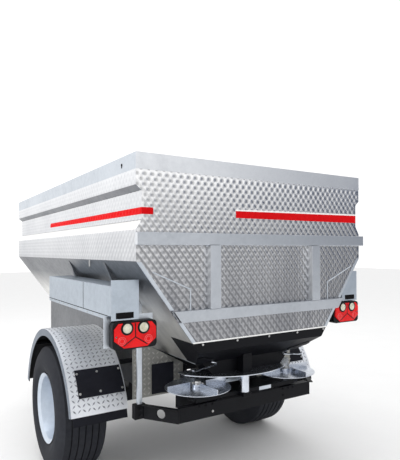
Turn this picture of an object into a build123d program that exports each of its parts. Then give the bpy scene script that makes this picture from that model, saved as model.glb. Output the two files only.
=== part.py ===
"""Towed salt spreader at real size, in millimetres.

X points right, Y forward and Z up. The pieces are drawn with Y measured from the hopper's rear wall
and Z from the ground. On export all of them move back by half the overall length, so the origin lies
on the ground under the middle of the machine.
"""

from math import cos, hypot, radians, sin
from pathlib import Path

from build123d import *

# Hopper
HALF_WIDTH = 1040.0
LENGTH = 3590.0
TOP = 2543.0
SHEET = 5.0
LIP = 45.0
REAR_LOW = 1304.0
REAR_LOW_HALF = 635.0
FLOOR = 1113.0
RIM_BAND = 106.0
RIM_SHEET = 3.0
GROOVE_DEPTH = 40.0

# Heights up the rear wall, as shares of it from its lower edge to the rim
GROOVE_TOP_SHARE = 0.8345
GROOVE_INNER_TOP_SHARE = 0.8063
GROOVE_INNER_LOW_SHARE = 0.6586
GROOVE_LOW_SHARE = 0.6086
UPPER_RAIL_SHARES = (0.5295, 0.5948)
BAND_LOW_SHARE = 0.4471
BOX_SHARES = (0.1646, 0.3196)
LOWER_RAIL_SHARES = (0.1203, 0.1824)

# Rear wall frame
RAIL_DEPTH = 42.0
RAIL_OVERHANG = 8.0
POST = (433.0, 518.0)
POST_DEPTH = 50.0
TUBE_WALL = 4.0
TRIM_WIDTH = 30.0
TRIM_SHEET = 5.0
TRIM_GAP = 5.0

# Discharge housing, floor outlets, drop chute and shutter
HOUSING_LENGTH = 300.0
HOUSING_FLANGE = 71.0
HOUSING_LEAN = 190.0
OUTLET_X = (210.0, 380.0)
OUTLET_Y = (225.0, 375.0)
CHUTE_DROP = 102.0
CHUTE_HALVES = (430.0, 330.0)
CHUTE_Y = (212.0, 400.0)
CHUTE_OUTLET_X = (180.0, 310.0)
SHUTTER_SHEET = 6.0
SHUTTER_HALF = 510.0
SHUTTER_BOW = (51.0, 315.0)
SHUTTER_FRONT = 420.0
LEVER_SHEET = 8.0
LEVER = ((350, 20), (380, 2), (530, 38), (545, 62), (505, 74))

# Auger and agitators
AUGER_RISE = 160.0
AUGER_SHAFT_R = 30.0
AUGER_R = 145.0
AUGER_PITCH = 290.0
AUGER_SHEET = 8.0
AUGER_REAR = 190.0
AUGER_FRONT_GAP = 90.0
AGITATOR_X = 330.0
AGITATOR_RISE = 120.0
AGITATOR_R = 15.0
PIN_R = 5.0
PIN_REACH = 60.0
PIN_STEP = 300.0
SHAFT_REAR = 48.0
SHAFT_FRONT_GAP = 8.0
BEARING_DEPTH = 75.0
AUGER_BEARING = 60.0
AGITATOR_BEARING = 35.0
RUN_GAP = 0.3
DRIVE_CASE = (400.0, 50.0, 100.0)
DRIVE_BOX = (120.0, 140.0, 200.0)
DRIVE_MOTOR_R = 62.0
DRIVE_MOTOR_LENGTH = 150.0

# Spreading discs and their drive
DISC_X = 427.0
DISC_Y = 266.0
DISC_R = 245.0
DISC_Z = 918.0
DISC_SHEET = 4.0
SPINDLE_LENGTH = 65.0
VANE_HEIGHT = 38.0
VANE_START = 60.0
VANE_COUNT = 4
VANE_TURN = -5.0
CARRIER_SHEET = 6.0
CARRIER_HALF = 300.0
GEARBOX_HALF = 480.0
GEARBOX_DEPTH = 60.0
MOTOR_X = -70.0
MOTOR_Y = 168.0
MOTOR_HALF = 40.0
MOTOR_NECK_R = 36.0

# Chassis and drawbar
BEAM_X = (350.0, 450.0)
BEAM_Z = (868.0, 1068.0)
BEAM_REAR = 605.0
BEAM_WALL = 10.0
CROSSMEMBER_SHARES = (0.086, 0.459, 0.735, 0.976)
SADDLE_SHARES = (0.032, 0.320, 0.627, 0.936)
OUTRIGGER_SHARES = (0.052, 0.411, 0.675, 0.963)
SADDLE_HALF = 480.0
MEMBER_HALF = 50.0
SKIRT_X = 640.0
SKIRT_SHEET = 4.0
SKIRT_LOW = 808.0
SKIRT_REAR = 620.0
SKIRT_FRONT_GAP = 20.0
DRAWBAR_LENGTH = 1300.0
DRAWBAR_Z = (908.0, 1048.0)
DRAWBAR_TIP = (10.0, 95.0)
HEAD_SHEET = 30.0
HEAD_HALF = 110.0
EYE_REACH = 160.0
EYE_BORE_R = 25.0
EYE_R = 62.0
EYE_THICK = 45.0
EYE_Z = 978.0

# Parking jack
CROSSPIECE_Y = (500.0, 580.0)
JACK_GAP = 50.0
JACK_TUBE_R = 42.0
JACK_LEG_R = 36.0
JACK_TUBE_Z = (628.0, 1128.0)
JACK_LEG_TOP = 758.0
JACK_FOOT_R = 110.0
JACK_FOOT_SHEET = 12.0
CRANK_REACH = 182.0

# Axle, wheels and mudguards
AXLE_Y = 1573.0
AXLE_SIZE = 110.0
AXLE_HALF = 690.0
SPINDLE_R = 40.0
TYRE_R = 536.0
TYRE_HALF = 210.0
RIM_R = 284.0
WHEEL_X = 1015.0
GUARD_Y = 1468.0
GUARD_Z = 495.0
GUARD_R = 750.0
GUARD_SHEET = 4.0
GUARD_X = (775.0, 1225.0)
GUARD_ANGLES = (12.0, 165.0)
GUARD_LIP = 60.0
STAY_ANGLES = (50.0, 135.0)
STAY_R = 20.0
RUBBER_SHEET = 6.0
RUBBER_ANGLES = (138.0, 155.0)
FLAP_ANGLE = 170.0

# Boxes, lamps and bumper at the rear
BOX_GAP = 42.0
BOX_WIDTH = 191.0
BOX_Y = (126.0, 1620.0)
BOX_PLATE = 6.0
BOX_PLATE_RISE = 38.0
BOX_LEDGE = (45.0, 27.0)
SLOT_X = (54.0, 142.0)
SLOT_Z = (-18.0, 21.0)
RIB_Y = (600.0, 1480.0)
RIB_HALF = 20.0
LAMP_INSET = 194.0
LAMP_WIDTH = 309.0
LAMP_DROP = (212.0, 35.0)
LAMP_Y = (105.0, 165.0)
LAMP_CLEAR_DROP = 78.0
LAMP_CLEAR_R = 32.0
LAMP_CLEARS = (99.0, 214.0)
LENS_SHEET = 10.0
BRACKET_OVERHANG = 35.0
BRACKET_SHEET = 6.0
BUMPER_HALF = 627.0
BUMPER_Y = (192.0, 252.0)
BUMPER_Z = (706.0, 813.0)
BUMPER_SHEET = 6.0
ARM_SHEET = 10.0
ARM_FLANGE = 38.0
ARM_END = (786.0, 428.0)
ARM_HOLE_R = 33.0
FOOT_X = (776.0, 860.0)
FOOT_Y = (428.0, 478.0)
CROSSBEAM_Y = (450.0, 530.0)
CROSSBEAM_HALF = 470.0
HANGER_SHEET = 12.0
HANGER_REACH = 155.0
STRUT_X = (800.0, 836.0)
STRUT_Y = (430.0, 455.0)
SHIELD_Y = 600.0
SHIELD_X = (360.0, 800.0)
SHIELD_Z = (798.0, 1173.0)
SHIELD_ARC = ((680.0, 1198.0), (540.0, 1123.0), (360.0, 1023.0))
SHIELD_FLAP_X = (450.0, 640.0)
SHIELD_FLAP_Z = (813.0, 1043.0)


def wall_z(share):
    """Height at a share of the rear wall, from its lower edge up."""
    return REAR_LOW + share * (TOP - REAR_LOW)


GROOVE_TOP = wall_z(GROOVE_TOP_SHARE)
GROOVE_INNER_TOP = wall_z(GROOVE_INNER_TOP_SHARE)
GROOVE_INNER_LOW = wall_z(GROOVE_INNER_LOW_SHARE)
GROOVE_LOW = wall_z(GROOVE_LOW_SHARE)
BAND_LOW = wall_z(BAND_LOW_SHARE)
UPPER_RAIL = [wall_z(share) for share in UPPER_RAIL_SHARES]
LOWER_RAIL = [wall_z(share) for share in LOWER_RAIL_SHARES]
BOX_Z = [wall_z(share) for share in BOX_SHARES]
AUGER_Z = FLOOR + AUGER_RISE
AGITATOR_Z = FLOOR + AGITATOR_RISE
AUGER_Y = (AUGER_REAR, LENGTH - AUGER_FRONT_GAP)
DRIVE_TOP = DISC_Z - SPINDLE_LENGTH
CARRIER_Z = BUMPER_Z[1]
AXLE_Z = TYRE_R
LAMP_X = (HALF_WIDTH - LAMP_INSET, HALF_WIDTH - LAMP_INSET + LAMP_WIDTH)
LAMP_Z = [BOX_Z[0] - drop for drop in LAMP_DROP]
LAMP_CLEAR_Z = BOX_Z[0] - LAMP_CLEAR_DROP
JACK_Y = LENGTH + CROSSPIECE_Y[1] + JACK_GAP
MID_Y = (LENGTH + DRAWBAR_LENGTH + EYE_REACH + EYE_R - POST_DEPTH) / 2


def slope_x(z):
    """Half width over the sloping sides' outer faces at a height."""
    return REAR_LOW_HALF + (z - REAR_LOW) * (HALF_WIDTH - REAR_LOW_HALF) / (BAND_LOW - REAR_LOW)


def slope_z(x):
    """Height of the sloping sides' outer faces at a half width."""
    return REAR_LOW + (x - REAR_LOW_HALF) * (BAND_LOW - REAR_LOW) / (HALF_WIDTH - REAR_LOW_HALF)


def block(x, y, z):
    """A box between pairs of limits."""
    centre = [(low + high) / 2 for low, high in (x, y, z)]
    return Pos(*centre) * Box(x[1] - x[0], y[1] - y[0], z[1] - z[0])


def plate_x(points, x):
    """A prism of (y, z) points between two X limits."""
    return extrude(Plane.YZ.offset(x[0]) * make_face(Polyline(*points, close=True)), amount=x[1] - x[0])


def plate_y(points, y):
    """A prism of (x, z) points between two Y limits."""
    return extrude(Plane.XZ.offset(-y[1]) * make_face(Polyline(*points, close=True)), amount=y[1] - y[0])


def plate_z(points, z):
    """A prism of (x, y) points between two Z limits."""
    return extrude(Plane.XY.offset(z[0]) * make_face(Polyline(*points, close=True)), amount=z[1] - z[0])


def rod_x(y, z, radius, x):
    """A round bar along X."""
    return Pos((x[0] + x[1]) / 2, y, z) * Rot(0, 90, 0) * Cylinder(radius, x[1] - x[0])


def rod_y(x, z, radius, y):
    """A round bar along Y."""
    return Pos(x, (y[0] + y[1]) / 2, z) * Rot(90, 0, 0) * Cylinder(radius, y[1] - y[0])


def rod_z(x, y, radius, z):
    """A round bar along Z."""
    return Pos(x, y, (z[0] + z[1]) / 2) * Cylinder(radius, z[1] - z[0])


def ring_x(y, z, outer, inner, angles, x):
    """A sector of a ring about an X axis, with its angles in degrees up from +Y."""
    start, end = angles
    low = [(y + inner * cos(radians(a)), z + inner * sin(radians(a))) for a in (start, (start + end) / 2, end)]
    high = [(y + outer * cos(radians(a)), z + outer * sin(radians(a))) for a in (start, (start + end) / 2, end)]
    edges = [
        ThreePointArc(*low),
        Line(low[2], high[2]),
        ThreePointArc(*high[::-1]),
        Line(high[0], low[0]),
    ]
    return extrude(Plane.YZ.offset(x[0]) * make_face(edges), amount=x[1] - x[0])


def folded(points, thick):
    """The outline of a sheet folded along points, with its thickness to their right."""
    shifted = []
    for a, b in zip(points, points[1:]):
        run = hypot(b[0] - a[0], b[1] - a[1])
        side = (thick * (b[1] - a[1]) / run, -thick * (b[0] - a[0]) / run)
        shifted.append(((a[0] + side[0], a[1] + side[1]), (b[0] + side[0], b[1] + side[1])))
    inner = [shifted[0][0]]
    for (a, b), (c, d) in zip(shifted, shifted[1:]):
        ux, uz, vx, vz = b[0] - a[0], b[1] - a[1], d[0] - c[0], d[1] - c[1]
        t = ((c[0] - a[0]) * vz - (c[1] - a[1]) * vx) / (ux * vz - uz * vx)
        inner.append((a[0] + t * ux, a[1] + t * uz))
    inner.append(shifted[-1][1])
    return points + inner[::-1]


def both(*shapes):
    """Pieces of the right side and their mirror images, as one node."""
    return Compound([*shapes, *[mirror(shape, about=Plane.YZ) for shape in shapes]])


def group(*shapes):
    """Separate pieces as one node."""
    return Compound(list(shapes))


# Hopper. The folded side walls stand on the sloping sides, which stand on the floor.
groove = [
    (HALF_WIDTH, GROOVE_TOP),
    (HALF_WIDTH - GROOVE_DEPTH, GROOVE_INNER_TOP),
    (HALF_WIDTH - GROOVE_DEPTH, GROOVE_INNER_LOW),
    (HALF_WIDTH, GROOVE_LOW),
    (HALF_WIDTH, BAND_LOW),
]
inside = (SHEET, LENGTH - SHEET)
slope_thick = SHEET * hypot(HALF_WIDTH - REAR_LOW_HALF, BAND_LOW - REAR_LOW) / (BAND_LOW - REAR_LOW)


def slope_outline(low, high):
    """Section of a sloping sheet between two heights."""
    return [
        (slope_x(high), high),
        (slope_x(low), low),
        (slope_x(low) - slope_thick, low),
        (slope_x(high) - slope_thick, high),
    ]


def end_wall(low, y):
    """An end wall that follows the side walls' outline down to a height."""
    right = [(HALF_WIDTH, TOP), *groove, (slope_x(low), low)]
    left = [(-x, z) for x, z in right[::-1]]
    return plate_y(right + left, y)


wall_line = [(HALF_WIDTH - LIP, TOP), (HALF_WIDTH, TOP), *groove]
hopper_walls = both(plate_y(folded(wall_line, SHEET), inside))
slope = plate_y(slope_outline(FLOOR, BAND_LOW), inside)
slope -= block((0, 2 * HALF_WIDTH), (0, HOUSING_LENGTH), (0, REAR_LOW))
hopper_slopes = both(slope)

lip_x = (LIP - HALF_WIDTH, HALF_WIDTH - LIP)
lip_z = (TOP - SHEET, TOP)
hopper_rear = end_wall(REAR_LOW, (0, SHEET)) + block(lip_x, (SHEET, LIP), lip_z)
hopper_front = end_wall(FLOOR - SHEET, (LENGTH - SHEET, LENGTH))
hopper_front += block(lip_x, (LENGTH - LIP, LENGTH - SHEET), lip_z)

# Discharge housing: a black end that leans in below the rear wall, and two black cheeks that carry on the slopes
floor_low = FLOOR - SHEET
back_line = [(HOUSING_LEAN, floor_low), (0, REAR_LOW - HOUSING_FLANGE), (0, REAR_LOW)]
back_outline = folded(back_line, SHEET)
back_inner = back_outline[len(back_line):][::-1]
span = (-2 * HALF_WIDTH, 2 * HALF_WIDTH)
outside = plate_x([*back_inner, (SHEET, TOP), (-LENGTH, TOP), (-LENGTH, 0), (back_inner[0][0], 0)], span)
interior = plate_x([*back_line, (0, TOP), (LENGTH, TOP), (LENGTH, floor_low)], span)
end_right = [(slope_x(REAR_LOW), REAR_LOW), (slope_x(floor_low), floor_low)]
end_shape = plate_y(end_right + [(-x, z) for x, z in end_right[::-1]], (0, LENGTH))
housing_back = plate_x(back_outline, span) & end_shape
housing_sides = both(plate_y(slope_outline(FLOOR, REAR_LOW), (0, HOUSING_LENGTH)) - outside)
lever_outline = [(x, floor_low + rise) for x, rise in LEVER]
lever_line = [(y - LEVER_SHEET, z) for y, z in back_line]
lever = plate_y(lever_outline, (-LEVER_SHEET, HOUSING_LEAN)) & plate_x(back_line + lever_line[::-1], span)
gate_levers = both(lever)

hopper_floor = block((-slope_x(FLOOR), slope_x(FLOOR)), (0, LENGTH - SHEET), (floor_low, FLOOR)) - outside
chute_low = floor_low - CHUTE_DROP
chute_z = (floor_low, chute_low)


def chute_shape(wall, y):
    """The tapered drop chute's outline, moved in by a wall."""
    right = [(half - wall, z) for half, z in zip(CHUTE_HALVES, chute_z)]
    return plate_y(right + [(-x, z) for x, z in right[::-1]], y)


drop_chute = chute_shape(0, CHUTE_Y) - chute_shape(SHEET, (CHUTE_Y[0] + SHEET, CHUTE_Y[1] - SHEET))
bow_back, bow_side = SHUTTER_BOW
shutter_edges = [
    ThreePointArc((-SHUTTER_HALF, bow_side), (0, bow_back), (SHUTTER_HALF, bow_side)),
    Line((SHUTTER_HALF, bow_side), (SHUTTER_HALF, SHUTTER_FRONT)),
    Line((SHUTTER_HALF, SHUTTER_FRONT), (-SHUTTER_HALF, SHUTTER_FRONT)),
    Line((-SHUTTER_HALF, SHUTTER_FRONT), (-SHUTTER_HALF, bow_side)),
]
shutter_low = chute_low - SHUTTER_SHEET
shutter_plate = extrude(Plane.XY.offset(shutter_low) * make_face(shutter_edges), amount=SHUTTER_SHEET)
for side in (-1, 1):
    outlet_x = sorted(side * x for x in OUTLET_X)
    hopper_floor -= block(outlet_x, OUTLET_Y, (floor_low - SHEET, FLOOR + SHEET))
    outlet_x = sorted(side * x for x in CHUTE_OUTLET_X)
    shutter_plate -= block(outlet_x, OUTLET_Y, (shutter_low - SHEET, chute_low + SHEET))

rim_x = (-HALF_WIDTH, HALF_WIDTH)
rim_z = (TOP - RIM_BAND, TOP)
rim_bands = group(
    block(rim_x, (-RIM_SHEET, 0), rim_z),
    block(rim_x, (LENGTH, LENGTH + RIM_SHEET), rim_z),
)

# Frame on the rear wall
rail_y = (-RAIL_DEPTH, 0)
rail_bore_y = (TUBE_WALL - RAIL_DEPTH, -TUBE_WALL)
rail_half = HALF_WIDTH + RAIL_OVERHANG
upper_rail = block((-rail_half, rail_half), rail_y, UPPER_RAIL)
upper_rail -= block(span, rail_bore_y, (UPPER_RAIL[0] + TUBE_WALL, UPPER_RAIL[1] - TUBE_WALL))
low_z, high_z = LOWER_RAIL
rail_ends = [(slope_x(z) - RAIL_OVERHANG, z) for z in LOWER_RAIL]
lower_rail = plate_y(rail_ends + [(-x, z) for x, z in rail_ends[::-1]], rail_y)
lower_rail -= block(span, rail_bore_y, (low_z + TUBE_WALL, high_z - TUBE_WALL))
rear_rails = group(upper_rail, lower_rail)

post_z = (LOWER_RAIL[1], UPPER_RAIL[0])
post = block(POST, (-POST_DEPTH, 0), post_z)
post -= block((POST[0] + TUBE_WALL, POST[1] - TUBE_WALL), (TUBE_WALL - POST_DEPTH, -TUBE_WALL), post_z)
rear_posts = both(post)


def trim(low, high):
    """A strip along the rear wall's sloping edge."""
    outer = [(slope_x(low), low), (slope_x(high), high)]
    inner = [(x - TRIM_WIDTH, z) for x, z in outer[::-1]]
    return plate_y(outer + inner, (-TRIM_SHEET, 0))


rear_trims = both(trim(REAR_LOW, LOWER_RAIL[0] - TRIM_GAP), trim(LOWER_RAIL[1] + TRIM_GAP, BAND_LOW - TRIM_GAP))

# Side boxes, and the ribs that hold them off the slopes
BOX_X = (slope_x(BOX_Z[1]) + BOX_GAP, slope_x(BOX_Z[1]) + BOX_GAP + BOX_WIDTH)
rib_top = BAND_LOW - LIP / 3
rib_line = [(BOX_X[0], BOX_Z[1]), (BOX_X[0], BOX_Z[0]), (slope_x(BOX_Z[0]), BOX_Z[0]), (slope_x(rib_top), rib_top)]
slope_ribs = both(*[plate_y(rib_line, (y - RIB_HALF, y + RIB_HALF)) for y in RIB_Y])

ledge_wide, ledge_deep = BOX_LEDGE
plate_low = LAMP_Z[1] + BOX_PLATE
side_box = block(BOX_X, BOX_Y, BOX_Z)
side_box += block((BOX_X[1] - ledge_wide, BOX_X[1]), (LAMP_Y[1] + 8, BOX_Y[1]), (BOX_Z[0] - ledge_deep, BOX_Z[0]))
side_box += block(BOX_X, (BOX_Y[0] - BOX_PLATE, BOX_Y[0]), (plate_low, BOX_Z[1] + BOX_PLATE_RISE))
side_box -= block(
    (BOX_X[0] + SLOT_X[0], BOX_X[0] + SLOT_X[1]),
    (BOX_Y[0] - 2 * BOX_PLATE, BOX_Y[0] + BOX_PLATE / 3),
    (BOX_Z[0] + SLOT_Z[0], BOX_Z[0] + SLOT_Z[1]),
)
side_boxes = both(side_box)

# Auger, agitators and what carries them
bearing_ends = ((0, SHEET + BEARING_DEPTH), (LENGTH - SHEET - BEARING_DEPTH, LENGTH - SHEET))
shaft_y = (SHAFT_REAR, LENGTH - SHAFT_FRONT_GAP)
auger_shaft = rod_y(0, AUGER_Z, AUGER_SHAFT_R, shaft_y)
flight_turn = 360 * (AUGER_Y[1] - AUGER_Y[0]) / AUGER_PITCH
flight_half = 180 * AUGER_SHEET / AUGER_PITCH
flight_inner = AUGER_SHAFT_R + 0.1


def around(radius, angle):
    """A point of the flight's section, about the auger's axis."""
    return radius * cos(radians(angle)), radius * sin(radians(angle))


flight_edges = [
    ThreePointArc(*[around(AUGER_R, a) for a in (-flight_half, 0, flight_half)]),
    Line(around(AUGER_R, flight_half), around(flight_inner, flight_half)),
    ThreePointArc(*[around(flight_inner, a) for a in (flight_half, 0, -flight_half)]),
    Line(around(flight_inner, -flight_half), around(AUGER_R, -flight_half)),
]
flight = Solid.extrude_linear_with_rotation(
    make_face(flight_edges).face(), (0, 0, 0), (0, 0, AUGER_Y[1] - AUGER_Y[0]), flight_turn
)
auger_flight = Pos(0, AUGER_Y[0], AUGER_Z) * Rot(-90, 0, 0) * flight


def agitator(x):
    """A shaft with crossing pins that turn a quarter from one to the next."""
    shape = rod_y(x, AGITATOR_Z, AGITATOR_R, shaft_y)
    count = int((AUGER_Y[1] - AUGER_Y[0]) // PIN_STEP)
    for index in range(count):
        y = AUGER_Y[0] + PIN_STEP * (index + 0.5)
        if index % 2:
            shape += rod_z(x, y, PIN_R, (AGITATOR_Z - PIN_REACH, AGITATOR_Z + PIN_REACH))
        else:
            shape += rod_x(y, AGITATOR_Z, PIN_R, (x - PIN_REACH, x + PIN_REACH))
    return shape


bearings = []
for y in bearing_ends:
    for x, z, radius, half in (
        (0, AUGER_Z, AUGER_SHAFT_R, AUGER_BEARING),
        (-AGITATOR_X, AGITATOR_Z, AGITATOR_R, AGITATOR_BEARING),
        (AGITATOR_X, AGITATOR_Z, AGITATOR_R, AGITATOR_BEARING),
    ):
        housing = block((x - half, x + half), y, (z - half, z + half)) - outside
        bearings.append(housing - rod_y(x, z, radius + RUN_GAP, (y[0] - half, y[1] + half)))
shaft_bearings = group(*bearings)

case_half, case_deep, case_tall = DRIVE_CASE
box_half, box_deep, box_tall = DRIVE_BOX
auger_drive = block(
    (-case_half, case_half), (LENGTH, LENGTH + case_deep), (AGITATOR_Z - case_tall / 2, AGITATOR_Z + case_tall / 2)
)
auger_drive += block(
    (-box_half, box_half), (LENGTH, LENGTH + box_deep), (AUGER_Z - box_tall / 2, AUGER_Z + box_tall / 2)
)
auger_drive += rod_y(0, AUGER_Z, DRIVE_MOTOR_R, (LENGTH + box_deep, LENGTH + box_deep + DRIVE_MOTOR_LENGTH))

# Chassis
beam_outline = [
    (BEAM_X[0], BEAM_Z[0]),
    (BEAM_X[1], BEAM_Z[0]),
    (BEAM_X[1], BEAM_Z[1]),
    (BEAM_X[0], BEAM_Z[1]),
    (BEAM_X[0], BEAM_Z[1] - BEAM_WALL),
    (BEAM_X[1] - BEAM_WALL, BEAM_Z[1] - BEAM_WALL),
    (BEAM_X[1] - BEAM_WALL, BEAM_Z[0] + BEAM_WALL),
    (BEAM_X[0], BEAM_Z[0] + BEAM_WALL),
]
chassis_beams = both(plate_y(beam_outline, (BEAM_REAR, LENGTH)))
web_half = BEAM_X[1] - BEAM_WALL
member_z = (BEAM_Z[0] + 3 * BEAM_WALL, BEAM_Z[1] - 3 * BEAM_WALL)


def member_y(share):
    """Limits along Y of a cross piece at a share of the chassis beams' length."""
    middle = BEAM_REAR + share * (LENGTH - BEAM_REAR)
    return middle - MEMBER_HALF, middle + MEMBER_HALF


crossmembers = group(*[block((-web_half, web_half), member_y(share), member_z) for share in CROSSMEMBER_SHARES])
saddle_z = (BEAM_Z[1], floor_low)
hopper_saddles = group(*[block((-SADDLE_HALF, SADDLE_HALF), member_y(share), saddle_z) for share in SADDLE_SHARES])
outriggers = both(*[block((BEAM_X[1], SKIRT_X), member_y(share), member_z) for share in OUTRIGGER_SHARES])
skirt = plate_y(
    [
        (SKIRT_X, SKIRT_LOW),
        (SKIRT_X + SKIRT_SHEET, SKIRT_LOW),
        (SKIRT_X + SKIRT_SHEET, slope_z(SKIRT_X + SKIRT_SHEET)),
        (SKIRT_X, slope_z(SKIRT_X)),
    ],
    (SKIRT_REAR, LENGTH - SKIRT_FRONT_GAP),
)
skirts = both(skirt)

# Drawbar and towing eye
front = LENGTH + DRAWBAR_LENGTH
tip_in, tip_out = DRAWBAR_TIP
drawbar_arm = [(BEAM_X[0], LENGTH), (BEAM_X[1], LENGTH), (tip_out, front), (tip_in, front)]
drawbar_arms = both(plate_z(drawbar_arm, DRAWBAR_Z))


def arm_gap(y):
    """Half width between the drawbar's arms."""
    return BEAM_X[0] + (tip_in - BEAM_X[0]) * (y - LENGTH) / DRAWBAR_LENGTH


cross_y = [LENGTH + y for y in CROSSPIECE_Y]
drawbar_crosspiece = plate_z(
    [
        (-arm_gap(cross_y[0]), cross_y[0]),
        (arm_gap(cross_y[0]), cross_y[0]),
        (arm_gap(cross_y[1]), cross_y[1]),
        (-arm_gap(cross_y[1]), cross_y[1]),
    ],
    (DRAWBAR_Z[0] + 10, DRAWBAR_Z[1] - 10),
)
drawbar_head = block((-HEAD_HALF, HEAD_HALF), (front, front + HEAD_SHEET), DRAWBAR_Z)
eye_y = front + EYE_REACH
eye_z = (EYE_Z - EYE_THICK / 2, EYE_Z + EYE_THICK / 2)
towing_eye = block((-70, 70), (front + HEAD_SHEET, front + HEAD_SHEET + 20), (EYE_Z - 55, EYE_Z + 55))
towing_eye += block((-30, 30), (front + HEAD_SHEET, eye_y), eye_z)
towing_eye += rod_z(0, eye_y, EYE_R, eye_z)
towing_eye -= rod_z(0, eye_y, EYE_BORE_R, (EYE_Z - 100, EYE_Z + 100))

# Parking jack
jack_tube = rod_z(0, JACK_Y, JACK_TUBE_R, JACK_TUBE_Z)
jack_tube += block((-50, 50), (cross_y[1], JACK_Y - 20), (DRAWBAR_Z[0] + 20, DRAWBAR_Z[1] - 20))
jack_tube -= rod_z(0, JACK_Y, JACK_LEG_R + RUN_GAP, (JACK_TUBE_Z[0] - 10, JACK_TUBE_Z[1] - 10))
jack_crank = rod_z(0, JACK_Y, 22, (JACK_TUBE_Z[1], JACK_TUBE_Z[1] + 40))
jack_crank += rod_x(JACK_Y, JACK_TUBE_Z[1] + 25, 9, (10, CRANK_REACH + 8))
jack_crank += rod_z(CRANK_REACH, JACK_Y, 12, (JACK_TUBE_Z[1] + 20, JACK_TUBE_Z[1] + 150))
jack_leg = rod_z(0, JACK_Y, JACK_LEG_R, (JACK_FOOT_SHEET, JACK_LEG_TOP))
jack_leg += rod_z(0, JACK_Y, JACK_FOOT_R, (0, JACK_FOOT_SHEET))

# Axle and wheels
half_axle = AXLE_SIZE / 2
axle_y = (AXLE_Y - half_axle, AXLE_Y + half_axle)
axle_beam = block((-AXLE_HALF, AXLE_HALF), axle_y, (AXLE_Z - half_axle, AXLE_Z + half_axle))
for side in (-1, 1):
    axle_beam += rod_x(AXLE_Y, AXLE_Z, SPINDLE_R, sorted((side * AXLE_HALF, side * (WHEEL_X + 55))))
seat_outline = [
    (AXLE_Y - 150, BEAM_Z[0]),
    (AXLE_Y + 150, BEAM_Z[0]),
    (AXLE_Y + 75, AXLE_Z + half_axle),
    (AXLE_Y - 75, AXLE_Z + half_axle),
]
axle_seats = both(plate_x(seat_outline, BEAM_X))

bore = SPINDLE_R + RUN_GAP
wheel_line = [
    (190, RIM_R + 18), (170, RIM_R), (-190, RIM_R), (-190, RIM_R - 18), (10, RIM_R - 22), (10, 205), (-255, 205),
    (-255, bore), (58, bore), (58, 0), (100, 0), (100, 70), (35, 85), (35, RIM_R - 44), (168, RIM_R - 14),
]
tyre_side = [
    (168, RIM_R), (TYRE_HALF - 10, RIM_R + 51), (TYRE_HALF, RIM_R + 111), (TYRE_HALF - 12, TYRE_R - 51),
    (TYRE_HALF - 45, TYRE_R),
]
tyre_line = tyre_side + [(-out, radius) for out, radius in tyre_side[::-1]]


def turned(line):
    """A solid of revolution about the right wheel's axis, of (distance outward, radius) points."""
    face = make_face(Polyline(*[(WHEEL_X + out, AXLE_Z + radius) for out, radius in line], close=True))
    return revolve(Plane.XZ.offset(-AXLE_Y) * face, Axis((0, AXLE_Y, AXLE_Z), (1, 0, 0)))


wheel_right = turned(wheel_line)
tyre_right = turned(tyre_line)
wheel_left = mirror(wheel_right, about=Plane.YZ)
tyre_left = mirror(tyre_right, about=Plane.YZ)

# Mudguards, with the lip down their outer edge, and the rubber at their rear
guard = ring_x(GUARD_Y, GUARD_Z, GUARD_R, GUARD_R - GUARD_SHEET, GUARD_ANGLES, GUARD_X)
guard += ring_x(GUARD_Y, GUARD_Z, GUARD_R, GUARD_R - GUARD_LIP, GUARD_ANGLES, (GUARD_X[1] - 8, GUARD_X[1]))
mudguards = both(guard)
stay_r = GUARD_R - GUARD_SHEET - STAY_R
stays = []
for angle in STAY_ANGLES:
    stay_y = GUARD_Y + stay_r * cos(radians(angle))
    stay_z = GUARD_Z + stay_r * sin(radians(angle))
    stays.append(rod_x(stay_y, stay_z, STAY_R, (SKIRT_X + SKIRT_SHEET, GUARD_X[1] - 8)))
mudguard_stays = both(*stays)
rubber_x = (GUARD_X[0] + 10, GUARD_X[1] - 72)
flap_x = (GUARD_X[0] + 10, GUARD_X[1] - 10)
rubber_flaps = both(
    ring_x(GUARD_Y, GUARD_Z, GUARD_R + RUBBER_SHEET, GUARD_R, RUBBER_ANGLES, rubber_x),
    ring_x(GUARD_Y, GUARD_Z, GUARD_R, GUARD_R - GUARD_SHEET, (GUARD_ANGLES[1], FLAP_ANGLE), flap_x),
)

# Rear crossbeam, hangers, bumper and splash shields
rear_crossbeam = block((-CROSSBEAM_HALF, CROSSBEAM_HALF), CROSSBEAM_Y, BUMPER_Z)
hanger_outline = [
    (CROSSBEAM_Y[1], BUMPER_Z[0]),
    (CROSSBEAM_Y[1], BUMPER_Z[1]),
    (BEAM_REAR - 30, BEAM_Z[0]),
    (BEAM_REAR - 30, BEAM_Z[1] - 60),
    (BEAM_REAR + HANGER_REACH, BEAM_Z[1] - 60),
    (BEAM_REAR + HANGER_REACH, BEAM_Z[0]),
    (BEAM_REAR + 35, BUMPER_Z[0]),
]
hangers = both(plate_x(hanger_outline, (BEAM_X[0] - HANGER_SHEET, BEAM_X[0])))
bumper_bar = block((-BUMPER_HALF, BUMPER_HALF), BUMPER_Y, BUMPER_Z)
channel_z = (BUMPER_Z[0] + BUMPER_SHEET, BUMPER_Z[1] - BUMPER_SHEET)
bumper_bar -= block(span, (BUMPER_Y[0] + BUMPER_SHEET, BUMPER_Y[1]), channel_z)
arm_line = [ARM_END, (BUMPER_HALF, BUMPER_Y[0])]
arm_run = (arm_line[0][0] - arm_line[1][0], arm_line[0][1] - arm_line[1][1])
arm_middle = [(a + b) / 2 for a, b in zip(*arm_line)]
bumper_arm = plate_z(folded(arm_line, -ARM_SHEET), BUMPER_Z)
bumper_arm += plate_z(folded(arm_line, -ARM_FLANGE), (BUMPER_Z[1] - BUMPER_SHEET, BUMPER_Z[1]))
bumper_arm += block(FOOT_X, FOOT_Y, BUMPER_Z)
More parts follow.
